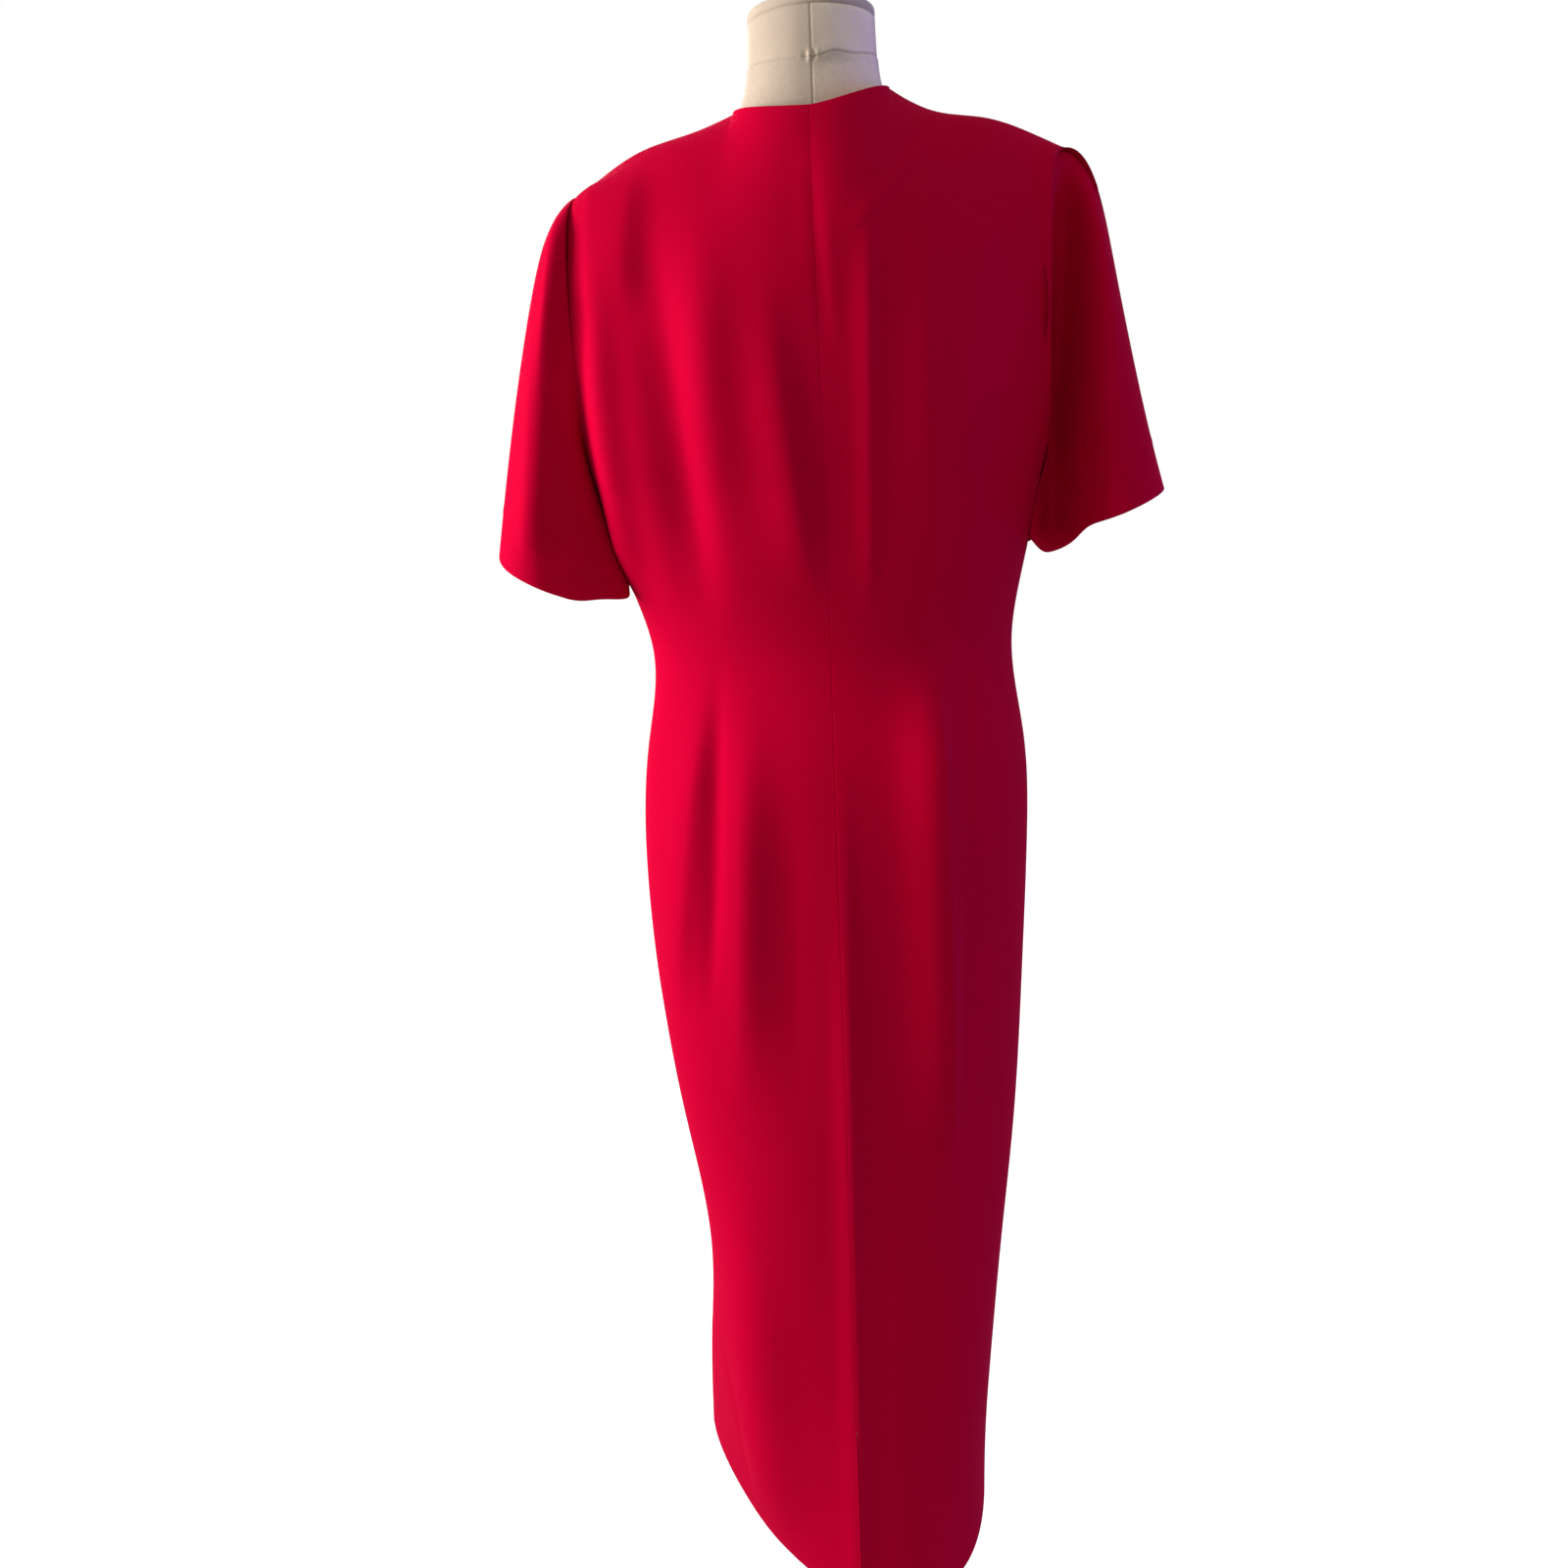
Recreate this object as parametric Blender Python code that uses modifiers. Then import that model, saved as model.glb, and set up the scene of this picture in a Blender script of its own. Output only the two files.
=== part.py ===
"""A coat dress in red crepe on a limbless dress form with a round stand.

Metres, +Z up. The origin is the middle of the stand's flat underside. The dress faces -Y, so its back
is towards +Y, and +X is the wearer's left.

Every cut piece of cloth is a wall lofted over a grid. Below the underarm a row of the grid is a quarter of
the dress's level section, from a centre line to a side seam. Above it each column rises as one cubic curve,
from the underarm row to the neckline or the shoulder seam, and the outermost column is the armhole.
A sleeve is a tube whose every line is one cubic curve, from the armhole to the sleeve's hem.
"""

from collections import namedtuple
import math

import bpy
from mathutils import Vector
import numpy as np

# ---- driving dimensions -------------------------------------------------------------------------
WALL = 0.0015  # crepe with its seam allowances, as one wall
SEAM_GAP = 0.0003  # between two pieces sewn together
OVERLAP = 0.020  # each front reaches this far past the centre line
LAP_LIFT = 0.0028  # the upper front stands this far out from the under front's surface
LAP_FADE = 0.060  # and comes back to the dress's own surface this far from the centre line
UNDERARM = 1.205  # height of the underarm points
POLE_RADIUS = 0.015
POLE_SIDES = 24
# radius and height of each corner of the base plate's profile, from its underside to its top
STAND_PROFILE = [
    (0.000, 0.000),
    (0.131, 0.000),
    (0.132, 0.001),
    (0.132, 0.010),
    (0.128, 0.014),
    (0.040, 0.020),
    (0.000, 0.020),
]
STAND_SIDES = 48
NECK_CAP_HEIGHT = 0.008
NECK_CAP_EDGE = 0.002  # radius of the cap's rounded edge

SHARP_ANGLE = math.radians(40)

LEFT = 1
RIGHT = -1

# ---- the dress below the underarm ---------------------------------------------------------------
# level: height of the side seam. left, right: half widths. back, front: depth of the centre lines.
# side: depth of the side seams. *_round: power of each quarter's curve, 2 for an ellipse, less for a
# flatter slant. tilt: how far a row drops for each metre towards the back.
Section = namedtuple(
    "Section", "level left right back front side left_round right_round front_round tilt"
)
SECTIONS = [
    Section(0.205, 0.156, 0.129, 0.123, -0.155, -0.065, 1.35, 3.00, 2.0, 0.26),
    Section(0.310, 0.151, 0.131, 0.119, -0.152, -0.045, 1.65, 2.60, 2.0, 0.12),
    Section(0.400, 0.143, 0.136, 0.117, -0.148, -0.020, 1.90, 2.50, 2.0, 0.07),
    Section(0.490, 0.137, 0.144, 0.115, -0.143, -0.005, 2.15, 2.45, 2.0, 0.03),
    Section(0.620, 0.154, 0.157, 0.118, -0.138, 0.000, 2.20, 2.30, 2.0, 0.00),
    Section(0.780, 0.172, 0.165, 0.126, -0.134, 0.000, 2.20, 2.20, 2.1, 0.00),
    Section(0.900, 0.175, 0.169, 0.134, -0.130, 0.000, 2.15, 2.15, 2.1, 0.00),
    Section(0.985, 0.167, 0.166, 0.122, -0.124, 0.000, 2.10, 2.10, 2.1, 0.00),
    Section(1.065, 0.158, 0.157, 0.095, -0.117, 0.000, 2.10, 2.10, 2.1, 0.00),
    Section(1.130, 0.176, 0.167, 0.099, -0.128, 0.000, 2.20, 2.20, 2.1, 0.00),
    Section(UNDERARM, 0.196, 0.183, 0.108, -0.143, 0.000, 2.35, 2.25, 2.2, 0.00),
]
LOWER_ROWS = 22  # rows of the grid from the hem to the underarm
UPPER_ROWS = 10  # and from the underarm to the shoulder

# ---- neckline and shoulder seams ----------------------------------------------------------------
# The nape is the middle of the back neckline. A shoulder has a row for each station along its seam, from
# the neck point to the tip.
NAPE = (0.003, 0.064, 1.487)
NECK_RISE = {LEFT: 2.0, RIGHT: 1.4}  # power that the back neckline's height follows from the nape outwards
NECK_STEPS = 4  # columns of a back that end on the neckline
SHOULDER_STEPS = 9  # columns of a back, and of a front, that end on the shoulder seam
Seam = namedtuple("Seam", "share x y z")
SHOULDER = {
    LEFT: [
        Seam(0.00, 0.065, 0.012, 1.496),
        Seam(0.22, 0.096, 0.012, 1.485),
        Seam(0.50, 0.137, 0.009, 1.475),
        Seam(0.78, 0.172, 0.003, 1.459),
        Seam(1.00, 0.198, -0.002, 1.443),
    ],
    RIGHT: [
        Seam(0.00, 0.061, 0.012, 1.508),
        Seam(0.22, 0.094, 0.012, 1.491),
        Seam(0.50, 0.137, 0.009, 1.484),
        Seam(0.78, 0.177, 0.003, 1.471),
        Seam(1.00, 0.201, -0.002, 1.461),
    ],
}

# A column leaves the underarm row upwards by rise, leaning out by lean, and reaches its top from a point
# that lies over behind it, drop below it and, on the left or right piece, inset towards the centre line.
# One row for each station from the centre line (0) to the armhole (1).
Column = namedtuple("Column", "turn rise lean over drop left_inset right_inset")
BACK_COLUMNS = [
    Column(0.00, 0.100, 0.008, 0.050, 0.070, 0.000, 0.000),
    Column(0.30, 0.100, 0.008, 0.060, 0.054, 0.000, 0.000),
    Column(0.60, 0.100, 0.010, 0.074, 0.036, 0.004, 0.007),
    Column(0.85, 0.080, 0.030, 0.082, 0.020, 0.002, 0.018),
    Column(1.00, 0.030, 0.070, 0.082, 0.002, -0.006, 0.030),
]
FRONT_COLUMNS = [
    Column(0.00, 0.085, 0.014, 0.100, 0.060, -0.006, -0.006),
    Column(0.35, 0.100, 0.014, 0.100, 0.046, 0.000, 0.000),
    Column(0.65, 0.095, 0.016, 0.092, 0.042, 0.014, 0.014),
    Column(0.88, 0.070, 0.035, 0.084, 0.026, 0.028, 0.028),
    Column(1.00, 0.028, 0.074, 0.082, 0.004, 0.036, 0.036),
]
SEAM_LEAN = 4  # power of the way up with which a back's columns take to its top edge

# ---- folds --------------------------------------------------------------------------------------
# Each runs from its top to its bottom, swings sideways by bow at mid length, and stands out by high, or
# in where high is negative. near and far are its half widths towards +X and towards -X.
Fold = namedtuple("Fold", "top_x top_z bottom_x bottom_z bow near far high")
BACK_FOLDS = [
    Fold(0.134, 1.430, 0.100, 1.070, 0.000, 0.022, 0.016, -0.010),
    Fold(0.143, 1.490, 0.154, 1.330, 0.000, 0.036, 0.016, 0.007),
    Fold(0.172, 1.400, 0.162, 1.150, 0.006, 0.016, 0.016, 0.006),
    Fold(0.090, 1.440, 0.086, 1.150, 0.000, 0.018, 0.020, 0.004),
    Fold(-0.046, 1.430, -0.036, 1.110, 0.000, 0.016, 0.014, 0.003),
    Fold(-0.150, 1.430, -0.120, 1.100, 0.000, 0.020, 0.020, -0.004),
    Fold(0.106, 1.050, 0.152, 0.720, 0.000, 0.020, 0.014, 0.004),
    Fold(0.096, 1.060, 0.118, 0.730, 0.000, 0.014, 0.014, -0.004),
    Fold(0.066, 1.060, 0.092, 0.640, 0.000, 0.016, 0.018, 0.005),
    Fold(0.036, 0.990, 0.044, 0.600, 0.000, 0.020, 0.016, -0.003),
    Fold(-0.004, 1.010, 0.004, 0.120, 0.000, 0.020, 0.014, 0.004),
    Fold(-0.082, 1.070, -0.088, 0.560, 0.000, 0.024, 0.014, 0.007),
    Fold(0.104, 0.640, 0.078, 0.150, 0.000, 0.030, 0.030, 0.012),
    Fold(-0.100, 0.600, -0.096, 0.190, 0.000, 0.024, 0.030, 0.008),
]
FRONT_FOLDS = [
    Fold(0.098, 1.010, 0.110, 0.640, 0.000, 0.018, 0.018, 0.005),
    Fold(0.060, 0.980, 0.066, 0.400, 0.000, 0.020, 0.020, -0.005),
    Fold(0.122, 1.400, 0.096, 1.180, 0.006, 0.016, 0.016, -0.004),
    Fold(-0.096, 1.010, -0.106, 0.600, 0.000, 0.018, 0.018, 0.005),
    Fold(-0.062, 0.960, -0.070, 0.440, 0.000, 0.018, 0.022, -0.005),
    Fold(-0.124, 1.400, -0.098, 1.170, -0.006, 0.016, 0.016, -0.004),
]
SIDE_FADE = 0.12  # share of a piece's width, at its side seam, where folds die out
ARMHOLE_FADE = 0.05  # and at its armhole
FADED_ROWS = 4  # rows below the neckline and the shoulder seam over which folds die out
FOLD_ENDS = 0.7  # power of the sine that a fold's height follows from end to end

# ---- sleeves ------------------------------------------------------------------------------------
# outer, inner: distances of the hem's ends from the middle plane. outer_z, inner_z: their heights.
# deep: half its depth. back_drop: how far the hem's back hangs below its middle. cap_out, cap_down: how
# the cap leaves the shoulder tip. swing: how the sleeve's outer line comes down to the hem. lobe: how far
# the hem hangs below all that at its back, beside the body.
Sleeve = namedtuple(
    "Sleeve", "outer inner outer_z inner_z middle deep back_drop cap_out cap_down swing lobe"
)
SLEEVES = {
    LEFT: Sleeve(0.2875, 0.1800, 1.161, 1.124, -0.006, 0.060, 0.017, 0.030, 0.010, 0.026, 0.002),
    RIGHT: Sleeve(0.2820, 0.1735, 1.190, 1.146, 0.004, 0.066, 0.001, 0.040, -0.002, 0.042, 0.016),
}
SLEEVE_ROUND = 2.6  # power of the hem's curve, 2 for an ellipse
CAP_RISE = 0.140  # length of the handle that brings the outer line down to the hem
UNDER_OUT = 0.008  # the inner line leaves the underarm this far outwards
UNDER_DOWN = 0.016  # and this far downwards
UNDER_RISE = 0.030  # and comes to the hem with a handle this long
SEAM_DIP = 0.4  # share of straight down in the direction that the walls at the armhole take
LOBE_PLACE = 0.189  # how far the middle of a lobe is from the middle plane
LOBE_WIDTH = 0.014
INNER_ROUND = 0.5  # power with which the hem's inner half squares its corner, 1 for a rounded box
BESIDE_DRESS = 0.004  # the sleeve stands this far off the dress below the underarm
BESIDE_RISE = 0.12  # and this much farther for each metre above it
CLEAR_AT = 0.20  # share of the way from armhole to hem where it first does
CLEAR_BLEND = 0.002
SLEEVE_STEPS = 8
SLEEVE_EASE = 0.0012  # the sleeve's seam stands this far off the armhole's line

# ---- buttons ------------------------------------------------------------------------------------
BUTTON_RADIUS = 0.011
# radius and height of each corner of a button's domed profile, as shares of its radius and its height
BUTTON_HEIGHT = 0.004
BUTTON_PROFILE = [(0.00, 0.00), (0.91, 0.00), (1.00, 0.30), (0.93, 0.65), (0.60, 0.90), (0.00, 1.00)]
BUTTON_COUNT = 8
BUTTON_SIDES = 20
TOP_BUTTON = 1.190
LOWEST_BUTTON = 0.490

# ---- dress form ---------------------------------------------------------------------------------
# level, half width, depths of the back and of the front, and the power of the section's curve.
FormSection = namedtuple("FormSection", "level half back front round")
FORM = [
    FormSection(0.775, 0.146, 0.098, -0.100, 2.1),
    FormSection(0.840, 0.156, 0.108, -0.106, 2.1),
    FormSection(0.905, 0.158, 0.114, -0.110, 2.1),
    FormSection(0.985, 0.143, 0.098, -0.104, 2.1),
    FormSection(1.065, 0.120, 0.078, -0.094, 2.1),
    FormSection(1.150, 0.134, 0.082, -0.110, 2.1),
    FormSection(1.240, 0.150, 0.088, -0.122, 2.1),
    FormSection(1.320, 0.158, 0.086, -0.104, 2.2),
    FormSection(1.385, 0.164, 0.074, -0.074, 2.1),
    FormSection(1.425, 0.156, 0.060, -0.054, 1.8),
    FormSection(1.450, 0.126, 0.053, -0.044, 1.5),
    FormSection(1.470, 0.0770, 0.050, -0.038, 1.4),
    FormSection(1.486, 0.0560, 0.049, -0.036, 1.8),
    FormSection(1.504, 0.0550, 0.049, -0.039, 2.0),
    FormSection(1.535, 0.0525, 0.048, -0.041, 2.0),
    FormSection(1.562, 0.051, 0.048, -0.042, 2.0),
]
FORM_ROWS = 30
FORM_STEPS = 32

# ---- materials: colour, roughness, metallic -----------------------------------------------------
CREPE = ("red_crepe", (0.50, 0.0, 0.025), 0.8, 0.0)
BUTTON_RED = ("button_red", (0.42, 0.0, 0.02), 0.35, 0.0)
LINEN = ("cream_linen", (0.72, 0.66, 0.55), 0.9, 0.0)
STEEL = ("painted_steel", (0.80, 0.79, 0.77), 0.4, 0.0)


def spline(stations, values, at):
    """Natural cubic curve through values at rising stations, read at the places in at."""
    x = np.asarray(stations, float)
    y = np.asarray(values, float)
    h = np.diff(x)
    count = len(x)
    matrix = np.eye(count)
    right = np.zeros(count)
    for i in range(1, count - 1):
        matrix[i, i - 1 : i + 2] = h[i - 1], 2 * (h[i - 1] + h[i]), h[i]
        right[i] = 6 * ((y[i + 1] - y[i]) / h[i] - (y[i] - y[i - 1]) / h[i - 1])
    bend = np.linalg.solve(matrix, right)
    k = np.clip(np.searchsorted(x, at) - 1, 0, count - 2)
    a = (x[k + 1] - at) / h[k]
    b = (at - x[k]) / h[k]
    curve = ((a**3 - a) * bend[k] + (b**3 - b) * bend[k + 1]) * h[k] ** 2 / 6
    return a * y[k] + b * y[k + 1] + curve


def column_of(table, name):
    return np.array([getattr(row, name) for row in table])


def read(table, key, at):
    """The table's other columns as splines over its key column, read at the places in at."""
    keys = column_of(table, key)
    names = [name for name in table[0]._fields if name != key]
    return {name: spline(keys, column_of(table, name), at) for name in names}


def bezier(a, b, c, d, t):
    """Cubic curves from a to d with handles b and c, at the shares t."""
    s = 1 - t
    return s**3 * a + 3 * s**2 * t * b + 3 * s * t**2 * c + t**3 * d


def ease(x):
    """0 below 0, 1 above 1, and a smooth step between."""
    x = np.clip(x, 0, 1)
    return x * x * (3 - 2 * x)


def unit(vectors):
    length = np.linalg.norm(vectors, axis=-1, keepdims=True)
    return vectors / np.maximum(length, 1e-12)


def level_point(side, face, level, turn):
    """Points of the dress's surface below the underarm. turn is 0 at the centre line, 1 at the side seam and
    below 0 past the centre line."""
    s = read(SECTIONS, "level", level)
    half = s["left"] if side == LEFT else s["right"]
    depth = s[face] - s["side"]
    if face == "back":
        power = 2 / (s["left_round"] if side == LEFT else s["right_round"])
    else:
        power = 2 / s["front_round"]
    angle = turn * math.pi / 2
    across = np.sign(angle) * np.abs(np.sin(angle)) ** power
    x = side * half * across
    y = s["side"] + depth * np.abs(np.cos(angle)) ** power
    return np.stack([x, y, level - s["tilt"] * y], -1)


def shoulder_point(side, share):
    s = read(SHOULDER[side], "share", share)
    return np.stack([side * s["x"], s["y"], s["z"]], -1)


def back_top(side):
    """Tops of a back's columns: along the neckline, a quarter of an ellipse, then along the shoulder seam."""
    neck = shoulder_point(side, np.zeros(1))[0]
    angle = np.linspace(0, math.pi / 2, NECK_STEPS + 1)[:-1]
    nape = np.array(NAPE)
    along = np.sin(angle)[:, None]
    deep = np.cos(angle)[:, None]
    points = np.empty((NECK_STEPS, 3))
    points[:, :1] = nape[0] + (neck[0] - nape[0]) * along
    points[:, 1:2] = neck[1] + (nape[1] - neck[1]) * deep
    points[:, 2:] = nape[2] + (neck[2] - nape[2]) * along ** NECK_RISE[side]
    return np.vstack([points, shoulder_point(side, np.linspace(0, 1, SHOULDER_STEPS + 1))])


def back_guide(side, share):
    """A smooth line across a back's top that its columns are drawn to, from the nape to the shoulder tip: straight
    in x, and in depth and height a level value plus two cosines, through the middle of the shoulder seam."""
    nape = np.array(NAPE)
    middle, tip = shoulder_point(side, np.array([0.5, 1.0]))
    columns = NECK_STEPS + SHOULDER_STEPS
    stations = np.array([0, 1 - SHOULDER_STEPS / 2 / columns, 1])
    waves = np.cos(math.pi * stations[:, None] * np.arange(3))
    sizes = np.linalg.solve(waves, np.stack([nape, middle, tip]))
    guide = np.cos(math.pi * share[:, None] * np.arange(3)) @ sizes
    guide[:, 0] = nape[0] + (tip[0] - nape[0]) * share
    return guide


def start_turn(side):
    """The turn, at each level, of a line OVERLAP past the centre line of the fronts."""
    half = column_of(SECTIONS, "left" if side == LEFT else "right")
    power = column_of(SECTIONS, "front_round") / 2
    return -np.arcsin((OVERLAP / half) ** power) * 2 / math.pi


def folded(points, table, fade):
    """The points moved along their normals by the folds, each a bump across its line with soft ends."""
    normals = grid_normals(points)
    x = points[..., 0]
    z = points[..., 2]
    push = np.zeros(x.shape)
    for fold in table:
        down = (fold.top_z - z) / (fold.top_z - fold.bottom_z)
        inside = np.clip(down, 0, 1)
        line = fold.top_x + (fold.bottom_x - fold.top_x) * inside + fold.bow * np.sin(math.pi * inside)
        away = x - line
        width = np.where(away > 0, fold.near, fold.far)
        push += fold.high * np.exp(-((away / width) ** 2)) * np.sin(math.pi * inside) ** FOLD_ENDS
    return points + normals * (push * fade)[..., None]


def grid_normals(points):
    """Unit normals of a panel's grid, rows upwards and columns away from the centre line, turned outwards."""
    up = np.gradient(points, axis=0)
    across = np.gradient(points, axis=1)
    normals = unit(np.cross(across, up))
    lower = points.shape[0] // 3
    return normals if (normals[lower, :, :2] * points[lower, :, :2]).sum() > 0 else -normals


def panel_grid(side, face):
    """A whole back or front, seam to seam: rows from the hem up, columns from the centre line outwards."""
    bottom = SECTIONS[0].level
    level = np.linspace(bottom, UNDERARM, LOWER_ROWS + 1)[:, None]
    if face == "back":
        tops = back_top(side)
        guide = back_guide(side, np.linspace(0, 1, len(tops)))
        turn = np.linspace(0, 1, len(tops))[None, :]
        table = BACK_COLUMNS
    else:
        tops = shoulder_point(side, np.linspace(0, 1, SHOULDER_STEPS + 1))
        edge = spline(column_of(SECTIONS, "level"), start_turn(side), level)
        # The first three columns lie past, on and before the centre line, so both fronts share them.
        rest = np.linspace(0, 1, SHOULDER_STEPS - 1)[None, 1:]
        turn = np.concatenate([edge, 0 * edge, -edge, -edge + (1 + edge) * rest], axis=1)
        tops = shoulder_point(side, np.linspace(0, 1, turn.shape[1]))
        guide = tops
        table = FRONT_COLUMNS
    lower = level_point(side, face, level + 0 * turn, turn + 0 * level)

    share = np.linspace(0, 1, len(tops))
    lines = read(table, "turn", share)
    start = lower[-1]
    slope = (lower[-1] - lower[-2]) / (level[-1] - level[-2])
    outward = 1 if face == "back" else -1
    away = np.zeros((len(tops), 3))
    away[:, 1] = outward
    rise = slope * lines["rise"][:, None] + away * lines["lean"][:, None]
    inset = lines["left_inset" if side == LEFT else "right_inset"]
    fall = np.stack([-side * inset, outward * lines["over"], -lines["drop"]], -1)
    t = np.linspace(0, 1, UPPER_ROWS + 1)[1:, None, None]
    upper = bezier(start, start + rise, guide + fall, guide, t) + (tops - guide) * t**SEAM_LEAN
    return np.concatenate([lower, upper])


def lap_lift(points, normals):
    """The upper front's surface over the under front, back at the dress's own past LAP_FADE."""
    away = -points[..., 0] + OVERLAP
    lift = LAP_LIFT * (1 - ease((away - 2 * OVERLAP) / LAP_FADE))
    return points + normals * lift[..., None]


def dress_panels():
    """The four panels as grids with shared seam lines, folds in, and their normals."""
    panels = {}
    for side, name in ((LEFT, "left"), (RIGHT, "right")):
        for face, folds in (("back", BACK_FOLDS), ("front", FRONT_FOLDS)):
            points = panel_grid(side, face)
            turn = np.linspace(0, 1, points.shape[1])[None, :]
            width = np.where(np.arange(points.shape[0]) < LOWER_ROWS, SIDE_FADE, ARMHOLE_FADE)[:, None]
            fade = ease((1 - turn) / width)
            fade[-FADED_ROWS:] *= np.linspace(1, 0, FADED_ROWS + 1)[1:, None]
            points = folded(points, folds, fade)
            if face == "front" and side == RIGHT:
                points = lap_lift(points, grid_normals(points))
            panels[face + "_" + name] = points
    normals = {name: grid_normals(points) for name, points in panels.items()}
    share_seams(panels, normals)
    return panels, normals


def share_seams(panels, normals):
    """Gives the two pieces of each seam one line and one set of normals along it."""
    seams = [(("back_left", np.s_[:, 0]), ("back_right", np.s_[:, 0]))]
    for name in ("left", "right"):
        lower = np.s_[: LOWER_ROWS + 1, -1]
        seams.append((("back_" + name, lower), ("front_" + name, lower)))
        back_shoulder = np.s_[-1, NECK_STEPS:]
        seams.append((("back_" + name, back_shoulder), ("front_" + name, np.s_[-1, :])))
    for (one, one_line), (two, two_line) in seams:
        middle = (panels[one][one_line] + panels[two][two_line]) / 2
        both = unit(normals[one][one_line] + normals[two][two_line])
        panels[one][one_line] = middle
        panels[two][two_line] = middle
        normals[one][one_line] = both
        normals[two][two_line] = both


def dress_half_width(side, y, z):
    """How far the dress reaches from the middle plane at a depth and a height below the underarm."""
    s = read(SECTIONS, "level", z)
    half = s["left"] if side == LEFT else s["right"]
    depth = np.where(y > 0, s["back"], -s["front"])
    power = np.where(y > 0, s["left_round"] if side == LEFT else s["right_round"], s["front_round"])
    return half * (1 - (np.abs(y) / depth) ** power) ** (1 / power)


def sleeve_hem(side, angle):
    """A sleeve's hem by its angle, and the share of the way out, from -1 at the underarm to 1."""
    size = SLEEVES[side]
    power = 2 / SLEEVE_ROUND
    reach = -np.sign(np.cos(angle)) * np.abs(np.cos(angle)) ** power
    deep = np.sign(np.sin(angle)) * np.abs(np.sin(angle)) ** power
    y = size.middle + size.deep * deep
    middle = (size.outer + size.inner) / 2
    wall = dress_half_width(side, y, size.inner_z + 0 * y) + BESIDE_DRESS
    inner = middle + (wall - middle) * np.abs(reach) ** INNER_ROUND
    x = np.where(reach > 0, middle + (size.outer - middle) * reach, inner)
    slope = (size.outer_z - size.inner_z) / (size.outer - size.inner)
    z = size.outer_z + slope * (x - size.outer) - size.back_drop * deep
    lobe = np.exp(-(((x - LOBE_PLACE) / LOBE_WIDTH) ** 2))
    z = z - size.lobe * lobe * np.clip(deep, 0, 1)
    return np.stack([side * x, y, z], -1), reach


def sleeve_grid(side, panels, normals):
    """A sleeve's rows from the armhole to the hem. A row starts at the underarm and runs up the back, over
    the top and down the front, evenly spaced round each half of the hem."""
    name = "left" if side == LEFT else "right"
    armhole, facing = (
        np.concatenate([grid["back_" + name][LOWER_ROWS:, -1], grid["front_" + name][-2:LOWER_ROWS:-1, -1]])
        for grid in (panels, normals)
    )
    size = SLEEVES[side]
    fine = np.linspace(0, 2 * math.pi, 4001)
    length = np.linalg.norm(np.diff(sleeve_hem(side, fine)[0], axis=0), axis=-1)
    length = np.concatenate([[0], np.cumsum(length)])
    stations = np.arange(len(armhole)) * 2 / len(armhole)
    at = np.interp(stations, (0, 1, 2), (0, length[2000], length[-1]))
    hem, reach = sleeve_hem(side, np.interp(at, length, fine))
    top = (reach + 1)[:, None] / 2
    out = np.array([side * size.cap_out, 0, -size.cap_down])
    under = np.array([side * UNDER_OUT, 0, -UNDER_DOWN])
    leave = under + (out - under) * top
    come = np.array([-side * size.swing, 0, CAP_RISE]) * top + np.array([0, 0, UNDER_RISE]) * (1 - top)
    t = np.linspace(0, 1, SLEEVE_STEPS + 1)[:, None, None]
    points = bezier(armhole, armhole + leave, hem + come, hem, t)
    return clear_of_dress(side, points, np.minimum(t[..., 0] / CLEAR_AT, 1)), facing


def clear_of_dress(side, points, share):
    """Moves a sleeve's points out where they come too near to the dress, with a smooth change between."""
    above = np.maximum(points[..., 2] - UNDERARM, 0)
    wall = dress_half_width(side, points[..., 1], points[..., 2] - above)
    gap = np.abs(points[..., 0]) - wall
    least = (BESIDE_DRESS + BESIDE_RISE * above) * share
    gap = (gap + least + np.sqrt((gap - least) ** 2 + (CLEAR_BLEND * share) ** 2)) / 2
    points[..., 0] = side * (wall + gap)
    return points


def ring_normals(points):
    """Unit normals of a tube's rows, each a closed ring, turned outwards."""
    around = np.roll(points, -1, axis=1) - np.roll(points, 1, axis=1)
    along = np.gradient(points, axis=0)
    normals = unit(np.cross(around, along))
    outward = points - points.mean(axis=1, keepdims=True)
    return normals if (normals * outward).sum() > 0 else -normals


def pull_edge(points, line, inner, distance):
    """Moves one edge of a grid towards the line beside it."""
    points[line] += unit(points[inner] - points[line]) * distance


def new_object(name, vertices, faces, material, collection):
    mesh = bpy.data.meshes.new(name)
    mesh.from_pydata(np.asarray(vertices).tolist(), [], faces)
    mesh.validate()
    mesh.shade_smooth()
    mesh.set_sharp_from_angle(angle=SHARP_ANGLE)
    mesh.materials.append(material)
    thing = bpy.data.objects.new(name, mesh)
    collection.objects.link(thing)
    return thing


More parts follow.
